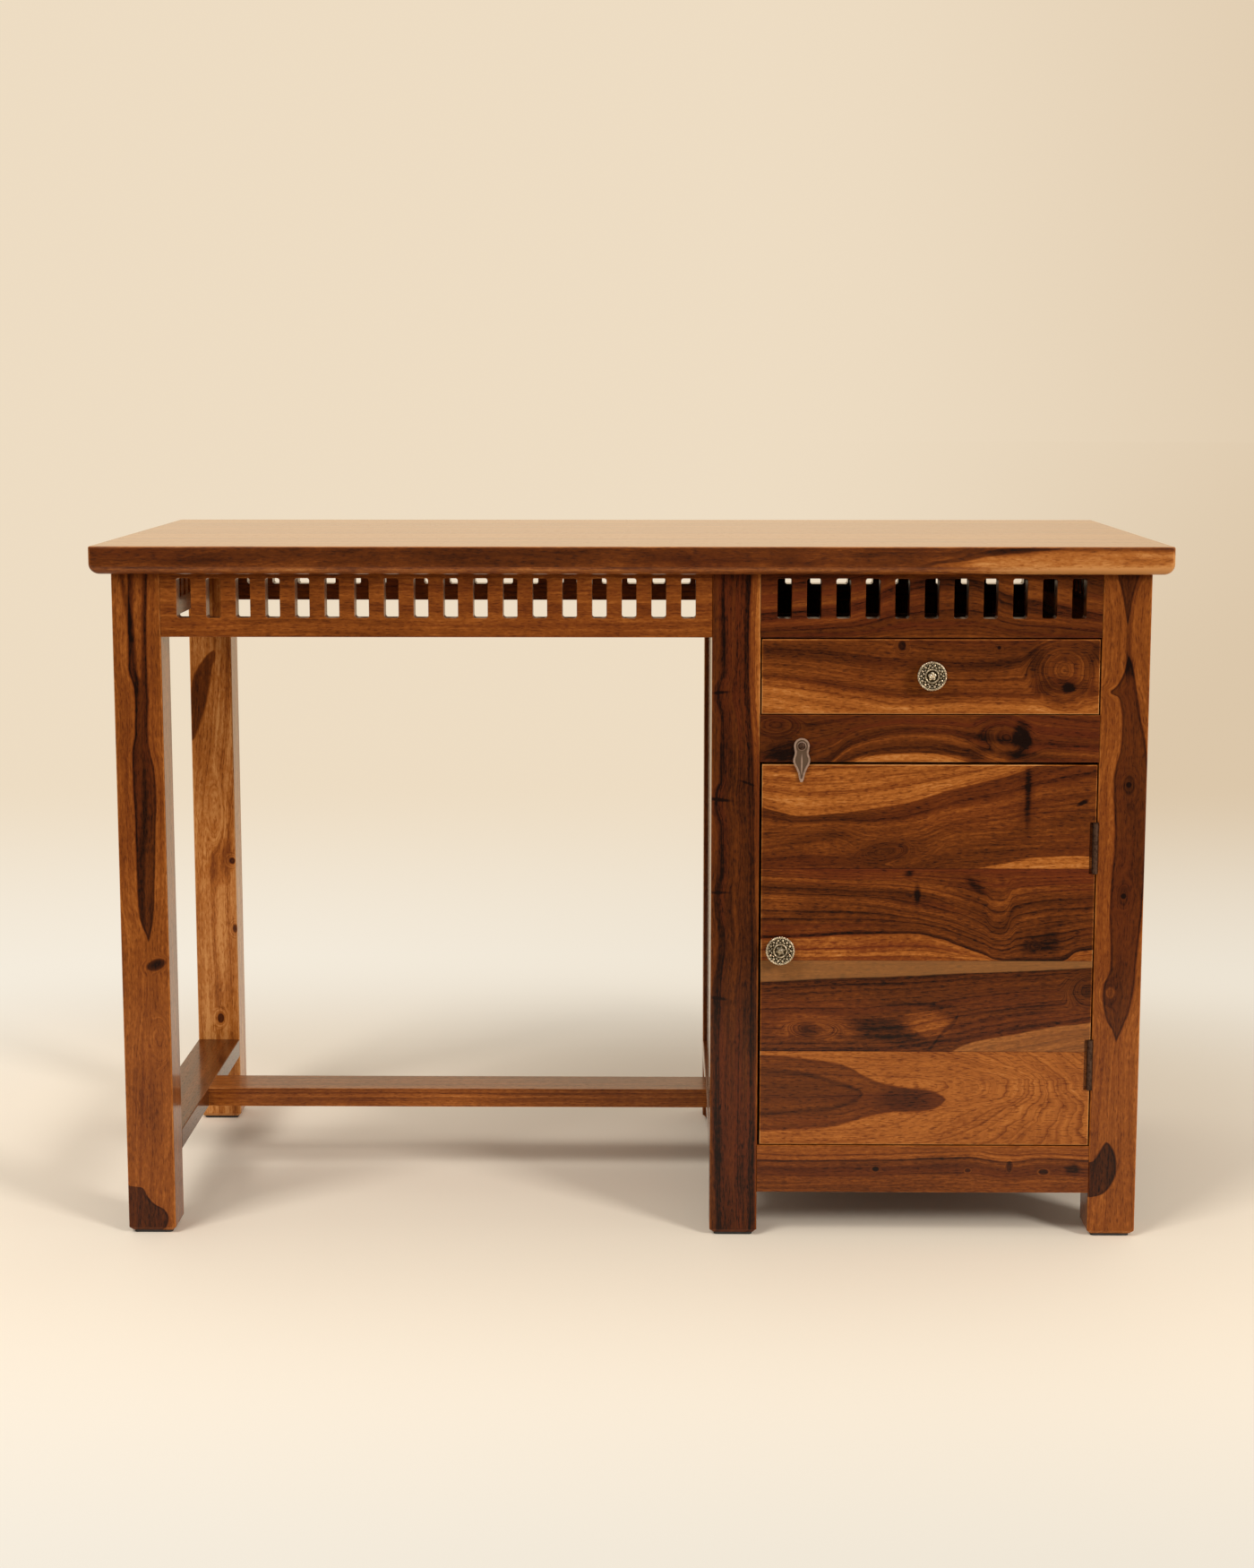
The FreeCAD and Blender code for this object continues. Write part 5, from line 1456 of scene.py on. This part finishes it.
DOOR_BOARD_TOP = replace(
    BOARD, base=0.54, seed=54.0,
    contours=(
        ((0.14, 0.4), (0.376, 0.405), (0.43, 0.412), (0.52, 0.416)),
        ((0.14, 0.438), (0.21, 0.444), (0.2732, 0.424), (0.35, 0.445), (0.43, 0.45), (0.52, 0.452)),
        ((0.14, 0.4794), (0.1646, 0.4724), (0.1813, 0.4688), (0.2145, 0.4711), (0.2559, 0.4763),
         (0.2973, 0.4839), (0.3523, 0.4994), (0.4072, 0.5135), (0.4373, 0.524), (0.52, 0.543)),
        ((0.14, 0.525), (0.3, 0.529), (0.52, 0.57)),
    ),
    tones=((0.0, 0.0), (1.0, 0.02), (1.6, -0.06), (1.94, 0.06), (1.985, 0.06), (2.03, -0.28),
           (3.0, -0.26)),
    veins=(
        Vein(low=((0.14, 0.4),), high=((0.37, 0.409), (0.3761, 0.4118), (0.4092, 0.4185),
                                        (0.4451, 0.4252), (0.5066, 0.4262)), tone=-0.34),
    ),
    figures=(
        Figure((0.2732, 0.4305), (0.03, 0.012), tone=0.14, rings=1.4, soft=0.8, turn=8.0),
        Figure((0.215, 0.448), (0.03, 0.004), tone=0.14, soft=0.9, turn=4.0),
        Figure((0.19, 0.418), (0.06, 0.009), tone=0.1, soft=0.9, turn=-2.0),
        Figure((0.4276, 0.4911), (0.003, 0.027), tone=0.34, soft=0.8),
        Figure((0.4276, 0.488), (0.0085, 0.03), tone=0.14, soft=0.9),
        Figure((0.4866, 0.4843), (0.0062, 0.0022), tone=0.5, soft=0.5, turn=28.0),
        Figure((0.42, 0.4519), (0.018, 0.0055), tone=0.1, soft=0.9),
    ),
)

DOOR_BOARDS = Glued(
    boards=(DOOR_BOARD_LOWEST, DOOR_BOARD_SECOND, DOOR_BOARD_THIRD, DOOR_BOARD_TOP),
    joints=(0.2092, 0.3102, 0.4118),
)


@dataclass
class Door:
    """The door of four boards glued edge to edge, and its battens.

    Attributes:
        panel: The boards.
        batten: The battens' wood.
    """

    panel: Glued = DOOR_BOARDS
    batten: Wood = Wood(grain=Grain.TALL, base=0.36, seed=55.0)

    def build(self) -> None:
        """Dress the boards and the battens."""
        paint(self.panel.dress("door_wood"), "door_panel")
        paint(self.batten.dress("batten_wood"), "door_batten_left", "door_batten_right")


@dataclass(frozen=True)
class Beads:
    """A ring of beads round an upright axis.

    Attributes:
        count: How many.
        radius: How far they stand from the axis, in metres.
        height: Their height, in metres.
        half: Half of their length outwards, their width and their thickness, in metres.
        twist: The turn of each away from the axis, in radians.
        start: The turn of the first round the axis, in steps.
        steps: How finely each is divided.
    """

    count: int
    radius: float
    height: float
    half: Triple
    twist: float = 0.0
    start: float = 0.0
    steps: int = 2


class Blank:
    """A workpiece that mesh operators shape before it is finished as one piece."""

    def __init__(self) -> None:
        """Start with nothing."""
        self.mesh = bmesh.new()

    def spun(self, section: Sequence[Pair], steps: int) -> None:
        """Spin a section about the upright axis.

        Args:
            section: Radii and heights, from the axis round and back to it.
            steps: How many faces go round.
        """
        corners = [self.mesh.verts.new((radius, 0.0, height)) for radius, height in section]
        sides = [self.mesh.edges.new(pair) for pair in zip(corners, corners[1:])]
        bmesh.ops.spin(self.mesh, geom=corners + sides, cent=(0.0, 0.0, 0.0), axis=(0.0, 0.0, 1.0),
                       angle=math.tau, steps=steps, use_merge=True)

    def bead(self, place: Triple, half: Triple, turn: float = 0.0, steps: int = 3) -> None:
        """Add one rounded bead.

        Args:
            place: Its middle.
            half: Its half sizes before it is turned.
            turn: Its turn about the upright axis, in radians.
            steps: How finely it is divided.
        """
        turned = Matrix.Translation(place) @ Matrix.Rotation(turn, 4, "Z")
        move = turned @ Matrix.Diagonal((*half, 1.0))
        bmesh.ops.create_icosphere(self.mesh, subdivisions=steps, radius=1.0, matrix=move)

    def ring(self, beads: Beads) -> None:
        """Add a ring of beads.

        Args:
            beads: The beads and where they stand.
        """
        for place in range(beads.count):
            angle = math.tau * (place + beads.start) / beads.count
            middle = (beads.radius * math.cos(angle), beads.radius * math.sin(angle), beads.height)
            self.bead(middle, beads.half, angle + beads.twist, beads.steps)

    def pushed(self, faces: Sequence[bmesh.types.BMFace], height: float) -> None:
        """Draw faces out of the workpiece.

        Args:
            faces: The faces.
            height: How far up they go, or down below nought.
        """
        drawn = bmesh.ops.extrude_face_region(self.mesh, geom=faces)["geom"]
        corners = [item for item in drawn if isinstance(item, bmesh.types.BMVert)]
        bmesh.ops.translate(self.mesh, vec=(0.0, 0.0, height), verts=corners)

    def finish(self, name: str, material: bpy.types.Material, seat: Matrix,
               smooth: bool = True) -> bpy.types.Object:
        """Close the mesh and make it a piece in its place.

        Args:
            name: The piece's name.
            material: Its material.
            seat: Where it goes.
            smooth: Whether its faces are shaded as one curved skin.

        Returns:
            The piece.
        """
        bmesh.ops.remove_doubles(self.mesh, verts=self.mesh.verts[:], dist=WELD)
        bmesh.ops.recalc_face_normals(self.mesh, faces=self.mesh.faces[:])
        bmesh.ops.transform(self.mesh, matrix=seat, verts=self.mesh.verts[:])
        for face in self.mesh.faces:
            face.smooth = smooth
        mesh = bpy.data.meshes.new(name)
        self.mesh.to_mesh(mesh)
        self.mesh.free()
        mesh.materials.append(material)
        piece = bpy.data.objects.new(name, mesh)
        bpy.context.scene.collection.objects.link(piece)
        LOG.info("%s: %d faces", name, len(mesh.polygons))
        return piece


# The Y of the cabinet's front, where the fittings are seated.
FRONT = -0.26


def seated(centre: Pair, depth: float = FRONT) -> Matrix:
    """Stand a fitting on the cabinet's front.

    Args:
        centre: Its X and Z.
        depth: Its back's Y.

    Returns:
        The move from its own upright axis to its place.
    """
    return Matrix.Translation((centre[0], depth, centre[1])) @ Matrix.Rotation(math.pi / 2, 4, "X")


@dataclass(frozen=True)
class Rosette:
    """An embossed brass knob: a turned body with a roped rim, leaves and a flower in the middle.

    Attributes:
        node: The construction node that it stands for.
        body: The moving body that it rides on.
        centre: Its X and Z.
        petals: Its flower's petals.
        eye: The radius of the flower's middle.
        eye_height: The height of the flower's middle, and how far it is rounded.
        section: The turned body's radii and heights.
        rings: The roped rim, the leaves and the beads between them.
        steps: How many faces go round the body.
    """

    node: str
    body: str
    centre: Pair
    petals: Beads
    eye: float
    eye_height: Pair = (0.0169, 0.001)
    section: Curve = (
        (0.0, 0.0), (0.0072, 0.0), (0.0075, 0.0004), (0.0075, 0.0016), (0.0072, 0.002),
        (0.0056, 0.0023), (0.005, 0.0032), (0.0049, 0.0065), (0.0054, 0.0082), (0.0072, 0.0102),
        (0.0106, 0.012), (0.0134, 0.013), (0.0146, 0.0134), (0.0154, 0.014), (0.01575, 0.015),
        (0.0154, 0.0158), (0.0149, 0.0162), (0.0143, 0.0162), (0.0138, 0.0158), (0.0134, 0.0148),
        (0.0126, 0.0146), (0.0102, 0.015), (0.0084, 0.0152), (0.0078, 0.0154), (0.0074, 0.0162),
        (0.0069, 0.0165), (0.0064, 0.0162), (0.0061, 0.0152), (0.0052, 0.0149), (0.0038, 0.0152),
        (0.002, 0.016), (0.0, 0.0162),
    )
    rings: tuple[Beads, ...] = (
        Beads(34, 0.01455, 0.0157, (0.00085, 0.00165, 0.00075), twist=0.75),
        Beads(14, 0.0116, 0.0154, (0.0015, 0.0014, 0.00115), steps=3),
        Beads(14, 0.00955, 0.0156, (0.0008, 0.0012, 0.00085), start=0.5),
        Beads(14, 0.0125, 0.0152, (0.0007, 0.00075, 0.0007), start=0.5),
        Beads(22, 0.007, 0.0163, (0.00062, 0.00085, 0.00055)),
    )
    steps: int = 72

    def build(self, material: bpy.types.Material) -> None:
        """Model the knob, put it on its board and let it ride with its body.

        Args:
            material: The knob's brass.
        """
        blank = Blank()
        blank.spun(self.section, self.steps)
        for beads in (*self.rings, self.petals):
            blank.ring(beads)
        height, rise = self.eye_height
        blank.bead((0.0, 0.0, height), (self.eye, self.eye, rise))
        piece = blank.finish(self.node + "_rosette", material, seated(self.centre))
        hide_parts(self.node)
        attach(piece, self.body)


@dataclass(frozen=True)
class TurnButton:
    """The cast iron leaf that holds the door shut, with raised edge and rib, and its slotted screw.

    Attributes:
        pivot: The screw's X and Z.
        back: How far its back stands from the rail.
        thick: Its thickness.
        outline: Half widths and heights of its right half, from the crown to the tip.
        edge: How wide its raised edge is.
        sunk: How far its face lies below that edge.
        wall: How wide the slope down to the face is, as a share of the edge.
        boss: The radius of the low boss under the screw.
        rib_at: The height of the middle of its rib.
        rib: Half of the rib's width, length and thickness.
        tip_at: The middle of the knop on its tip.
        tip: Half of the knop's width, length and thickness.
        rounding: How far its edges are rounded.
        rounded_from: The least bend that is rounded, in degrees.
        head: The screw head's radii and heights.
        slot: The slot's width.
        slot_deep: The slot's depth.
        turned: How far the slot is turned, in degrees.
        steps: How many faces go round the screw.
    """

    pivot: Pair = (0.1838, 0.5455)
    back: float = 0.0003
    thick: float = 0.0025
    outline: Curve = (
        (0.0, 0.0087), (0.0028, 0.0083), (0.0056, 0.0066), (0.0077, 0.0038), (0.0084, 0.0003),
        (0.0079, -0.0036), (0.0072, -0.0065), (0.0076, -0.0094), (0.0087, -0.0124),
        (0.0092, -0.015), (0.0089, -0.0176), (0.0079, -0.0206), (0.0062, -0.0234),
        (0.0048, -0.0266), (0.0036, -0.03), (0.003, -0.033), (0.0024, -0.036), (0.0013, -0.0386),
        (0.0, -0.0392),
    )
    edge: float = 0.0017
    sunk: float = 0.0008
    wall: float = 0.4
    boss: float = 0.0052
    rib_at: float = -0.02
    rib: Triple = (0.0011, 0.0125, 0.00055)
    tip_at: Triple = (-0.0005, -0.0372, 0.002)
    tip: Triple = (0.0011, 0.002, 0.001)
    rounding: float = 0.0004
    rounded_from: float = 40.0
    head: Curve = (
        (0.0, 0.0), (0.0042, 0.0), (0.004, 0.0007), (0.0034, 0.0014), (0.0024, 0.0019),
        (0.0012, 0.00215), (0.0, 0.0022),
    )
    slot: float = 0.0009
    slot_deep: float = 0.001
    turned: float = 28.0
    steps: int = 48

    def leaf(self, material: bpy.types.Material) -> None:
        """Model the leaf and let it ride with the button's body.

        Args:
            material: The leaf's iron.
        """
        blank = Blank()
        mirrored = [(-wide, height) for wide, height in self.outline[-2:0:-1]]
        corners = [blank.mesh.verts.new((*corner, 0.0)) for corner in (*self.outline, *mirrored)]
        flat = blank.mesh.faces.new(corners)
        flat.normal_update()
        if flat.normal.z < 0.0:
            flat.normal_flip()
        blank.pushed([flat], self.thick)
        blank.mesh.normal_update()
        face = max(blank.mesh.faces, key=lambda side: side.calc_center_median().z)
        for width, depth in ((self.edge, 0.0), (self.edge * self.wall, -self.sunk)):
            bmesh.ops.inset_region(blank.mesh, faces=[face], thickness=width, depth=depth,
                                   use_even_offset=True)
        height = self.thick - self.sunk
        blank.bead((0.0, 0.0, height), (self.boss, self.boss, self.sunk))
        blank.bead((0.0, self.rib_at, height), self.rib)
        blank.bead(self.tip_at, self.tip, steps=2)
        seat = seated(self.pivot, FRONT - self.back)
        piece = blank.finish("turn_button_leaf", material, seat, smooth=False)
        rounding = piece.modifiers.new("soft_edges", "BEVEL")
        rounding.width = self.rounding
        rounding.segments = 2
        rounding.limit_method = "ANGLE"
        rounding.angle_limit = math.radians(self.rounded_from)
        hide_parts("turn_button")
        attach(piece, "button")

    def screw(self, material: bpy.types.Material) -> None:
        """Model the slotted screw head, which stays with the frame.

        Args:
            material: The screw's iron.
        """
        blank = Blank()
        blank.spun(self.head, self.steps)
        bmesh.ops.remove_doubles(blank.mesh, verts=blank.mesh.verts[:], dist=WELD)
        for side in (-1.0, 1.0):
            bmesh.ops.bisect_plane(
                blank.mesh, geom=blank.mesh.verts[:] + blank.mesh.edges[:] + blank.mesh.faces[:],
                plane_co=(side * self.slot / 2, 0.0, 0.0), plane_no=(1.0, 0.0, 0.0))
        floor = []
        for face in blank.mesh.faces:
            middle = face.calc_center_median()
            if abs(middle.x) < self.slot / 2 and middle.z > self.slot / 4:
                floor.append(face)
        blank.pushed(floor, -self.slot_deep)
        turned = Matrix.Rotation(math.radians(self.turned), 4, "Z")
        seat = seated(self.pivot, FRONT - self.back - self.thick) @ turned
        piece = blank.finish("turn_button_screw_head", material, seat, smooth=False)
        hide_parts("turn_button_screw")
        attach(piece, "frame")


@dataclass
class Fittings:
    """Knobs, hinges, turn button, screws and brackets."""

    iron_nodes: tuple[str, ...] = (
        "hinge_frame_leaf_upper", "hinge_frame_leaf_lower", "hinge_door_leaf_upper",
        "hinge_door_leaf_lower", "hinge_pins",
    )
    steel_nodes: tuple[str, ...] = (
        "hinge_frame_screws", "hinge_door_screws", "door_batten_screws", "drawer_knob_bolt",
        "door_knob_bolt", "top_bracket_screws",
    )
    rosettes: tuple[Rosette, ...] = (
        Rosette("drawer_knob", "drawer", (0.321, 0.6225), eye=0.0014,
                petals=Beads(5, 0.0026, 0.0163, (0.0021, 0.0018, 0.0011), start=0.25, steps=3)),
        Rosette("door_knob", "door", (0.162, 0.324), eye=0.002,
                petals=Beads(6, 0.004, 0.015, (0.0016, 0.0011, 0.0006), start=0.25, steps=3)),
    )
    button: TurnButton = TurnButton()

    def build(self) -> None:
        """Model the knobs and the button, and dress the other fittings."""
        iron = DARK_IRON.dress("hinge_iron")
        paint(iron, *self.iron_nodes)
        paint(STEEL.dress("screw_steel"), *self.steel_nodes)
        paint(ZINC.dress("bracket_zinc"), "top_brackets")
        aged = AGED_IRON.dress("button_iron")
        self.button.leaf(aged)
        self.button.screw(iron)
        brass = BRASS.dress("knob_brass")
        for rosette in self.rosettes:
            rosette.build(brass)


@dataclass(frozen=True)
class Lamp:
    """One soft rectangular lamp.

    Attributes:
        name: Its name.
        place: Where it hangs, in metres.
        size: Its width and height, in metres.
        power: Its power, in watts.
        colour: Its colour.
        aim: The place that it faces, in metres.
    """

    name: str
    place: Triple
    size: Pair
    power: float
    colour: Colour = (1.0, 0.95, 0.89)
    aim: Triple = (0.0, 0.0, 0.35)

    def hang(self) -> None:
        """Hang the lamp so that it faces the desk."""
        data = bpy.data.lights.new(self.name, "AREA")
        data.shape = "RECTANGLE"
        data.size, data.size_y = self.size
        data.energy = self.power
        data.color = self.colour
        lamp = bpy.data.objects.new(self.name, data)
        lamp.location = self.place
        way = Vector(self.aim) - Vector(self.place)
        lamp.rotation_euler = way.to_track_quat("-Z", "Y").to_euler()
        bpy.context.scene.collection.objects.link(lamp)


# Half the desk's width and depth, and how far beyond them the floor starts to glow, in metres.
DESK_HALF: Pair = (0.58, 0.28)
MELT: Pair = (0.1, 0.95)

# Where the floor's colour changes: from the painted light on its left to its plain colour on the
# right, towards the back, and all round, in metres.
LEFT_TO_RIGHT: Pair = (-0.9, 0.5)
BACKWARDS: Pair = (0.6, 3.2)
OUTWARDS: Pair = (3.0, 9.0)

# Where the floor is mirrored as backdrop, and where in front of the desk it gives less light back.
MIRRORED_FROM: Pair = (0.2, 1.0)
DIM_FROM: Pair = (1.0, 1.8)
DIM_PAPER = (0.1, 0.08, 0.06, 1.0)

# Where the backdrop is shaded, as the sine of the way to the right and as the way back, and what
# keeps the length under that sine from being nought.
SHADED: Pair = (0.02, 0.34)
SHADED_BACK: Pair = (-0.2, 0.6)
NEVER_NOUGHT = 0.0001

# What mirrored paper is multiplied with, and the world's light on matt and on mirroring surfaces.
WARMTH = (0.98, 0.9, 0.79, 1.0)
MATT_LIGHT = {"Color": (1.0, 0.9, 0.78, 1.0), "Strength": 0.5}
MIRRORED_LIGHT = {"Color": (1.0, 0.93, 0.84, 1.0), "Strength": 0.03}

# Where the world is mirrored as backdrop, and how far it is elsewhere.
MIRRORED_WORLD: Pair = (-0.3, 0.5)
MIRRORED_LEAST = 0.05


@dataclass
class Studio:
    """The pale floor, the soft lamps and the camera.

    Attributes:
        eye: The camera's place, in metres.
        dip: How far the camera looks down, in radians.
        swing: How far it looks to the left, in radians.
        lens: Its focal length, in millimetres.
        floor_paper: The floor's colour.
        lit_left_paper: The floor's paler colour on the left, painted light.
        wall_paper: The backdrop's colour.
        shade_paper: The backdrop's colour on the right.
        lamps: The lamps.
        sensor: The width of the camera's picture, in millimetres.
        radius: The floor's radius, in metres.
        sides: How many sides the floor has.
    """

    eye: Triple = (0.0305, -3.1214, 0.9325)
    dip: float = 0.1487
    swing: float = 0.012
    lens: float = 61.7
    floor_paper: Colour = (0.862, 0.79, 0.672)
    lit_left_paper: Colour = (0.92, 0.85, 0.735)
    wall_paper: Colour = (0.85, 0.718, 0.545)
    shade_paper: Colour = (0.715, 0.57, 0.4)
    lamps: tuple[Lamp, ...] = (
        Lamp("left_lamp", (-3.0, -3.8, 5.2), (2.2, 2.0), 190.0),
        Lamp("right_lamp", (3.6, -3.9, 2.6), (1.2, 1.2), 170.0),
        Lamp("top_lamp", (0.0, 0.8, 5.0), (4.0, 3.0), 40.0),
    )
    sensor: float = 36.0
    radius: float = 40.0
    sides: int = 96

    def camera(self) -> None:
        """Set up the camera at the photograph's viewing angle."""
        data = bpy.data.cameras.new("camera")
        data.lens = self.lens
        data.sensor_width = self.sensor
        camera = bpy.data.objects.new("camera", data)
        camera.location = self.eye
        camera.rotation_euler = (math.pi / 2 - self.dip, 0.0, self.swing)
        bpy.context.scene.collection.objects.link(camera)
        bpy.context.scene.camera = camera

    def backdrop(self, nodes: Nodes, x: Value, y: Value) -> bpy.types.NodeSocket:
        """The backdrop's colour in one direction.

        Args:
            nodes: The nodes that the sums are written in.
            x: How far the direction goes to the right.
            y: How far it goes back.

        Returns:
            The colour.
        """
        sine = x / (x * x + y * y + NEVER_NOUGHT).maths("SQRT")
        aside = sine.smooth(*SHADED) * y.smooth(*SHADED_BACK)
        return nodes.mix(aside, (*self.wall_paper, 1.0), (*self.shade_paper, 1.0))

    @staticmethod
    def mirrored(nodes: Nodes, path: bpy.types.Node,
                 paper: bpy.types.NodeSocket) -> bpy.types.NodeSocket:
        """The paper's colour, warmer where it is only mirrored.

        Args:
            nodes: The nodes that the sums are written in.
            path: The node that tells a seen place from a mirrored one.
            paper: The paper's colour.

        Returns:
            The colour.
        """
        warm = nodes.node("ShaderNodeMix", {"data_type": "RGBA", "blend_type": "MULTIPLY"},
                          {0: path.outputs["Is Glossy Ray"], 6: paper, 7: WARMTH})
        return warm.outputs[2]

    def floor(self) -> None:
        """Lay the floor, whose far part melts into the backdrop."""
        mesh = bpy.data.meshes.new("studio_floor")
        work = bmesh.new()
        bmesh.ops.create_circle(work, cap_ends=True, segments=self.sides, radius=self.radius)
        work.to_mesh(mesh)
        work.free()
        floor = bpy.data.objects.new("studio_floor", mesh)
        bpy.context.scene.collection.objects.link(floor)
        shader = Shader("studio_paper")
        x, y, _ = shader.place()
        beside = (x.size() - DESK_HALF[0]).maths("MAXIMUM", 0.0)
        before = (y.size() - DESK_HALF[1]).maths("MAXIMUM", 0.0)
        far = (beside * beside + before * before).maths("SQRT")
        # Painted light: the floor is paler on the left.
        paper = shader.mix(x.smooth(*LEFT_TO_RIGHT), (*self.lit_left_paper, 1.0),
                           (*self.floor_paper, 1.0))
        around = (x * x + y * y).maths("SQRT").smooth(*OUTWARDS)
        horizon = y.smooth(*BACKWARDS).maths("MAXIMUM", around)
        tint = shader.mix(horizon, paper, self.backdrop(shader, x, y))
        path = shader.node("ShaderNodeLightPath", {}, {})
        seen = Value(shader, path.outputs["Is Camera Ray"])
        mirrored = Value(shader, path.outputs["Is Glossy Ray"]) * y.smooth(*MIRRORED_FROM)
        lit = shader.mix((1.0 - seen) * (y * -1.0).smooth(*DIM_FROM), paper, DIM_PAPER)
        matte = shader.node("ShaderNodeBsdfDiffuse", {}, {"Color": lit})
        glow = shader.node("ShaderNodeEmission", {}, {"Color": self.mirrored(shader, path, tint)})
        share = (seen * far.smooth(*MELT)).maths("MAXIMUM", mirrored)
        blend = shader.node("ShaderNodeMixShader", {},
                            {0: share, 1: matte.outputs[0], 2: glow.outputs[0]})
        shader.node("ShaderNodeOutputMaterial", {}, {"Surface": blend.outputs[0]})
        mesh.materials.append(shader.material)

    def surroundings(self) -> None:
        """Give the world a dim light, and the backdrop's colour where it is seen or mirrored."""
        world = bpy.data.worlds.new("studio")
        bpy.context.scene.world = world
        world.use_nodes = True
        nodes = Nodes(world.node_tree)
        x, y, _ = nodes.parts(nodes.node("ShaderNodeTexCoord", {}, {}).outputs["Generated"])
        paper = self.backdrop(nodes, x, y)
        path = nodes.node("ShaderNodeLightPath", {}, {})
        back = y.smooth(*MIRRORED_WORLD) * (1.0 - MIRRORED_LEAST) + MIRRORED_LEAST
        mirrored = Value(nodes, path.outputs["Is Glossy Ray"]) * back
        seen = Value(nodes, path.outputs["Is Camera Ray"]).maths("MAXIMUM", mirrored)
        seen = seen.maths("MAXIMUM", Value(nodes, path.outputs["Is Transmission Ray"]))
        dim = nodes.node("ShaderNodeBackground", {}, MATT_LIGHT)
        dark = nodes.node("ShaderNodeBackground", {}, MIRRORED_LIGHT)
        plain = nodes.node("ShaderNodeMixShader", {},
                           {0: path.outputs["Is Glossy Ray"], 1: dim.outputs[0],
                            2: dark.outputs[0]})
        bright = nodes.node("ShaderNodeBackground", {},
                            {"Color": self.mirrored(nodes, path, paper), "Strength": 1.0})
        mix = nodes.node("ShaderNodeMixShader", {},
                         {0: seen, 1: plain.outputs[0], 2: bright.outputs[0]})
        nodes.node("ShaderNodeOutputWorld", {}, {"Surface": mix.outputs[0]})

    def build(self) -> None:
        """Set up camera, lamps, floor and surroundings."""
        self.camera()
        for lamp in self.lamps:
            lamp.hang()
        self.floor()
        self.surroundings()
        bpy.context.scene.view_settings.view_transform = "Standard"


def main() -> None:
    """Build every sub-assembly in order."""
    logging.basicConfig(level=logging.INFO, format="%(message)s")
    Studio().build()
    for part in (Worktop(), Posts(), Rails(), Cabinet(), Drawer(), Door(), Fittings()):
        part.build()


if __name__ == "__main__":
    main()
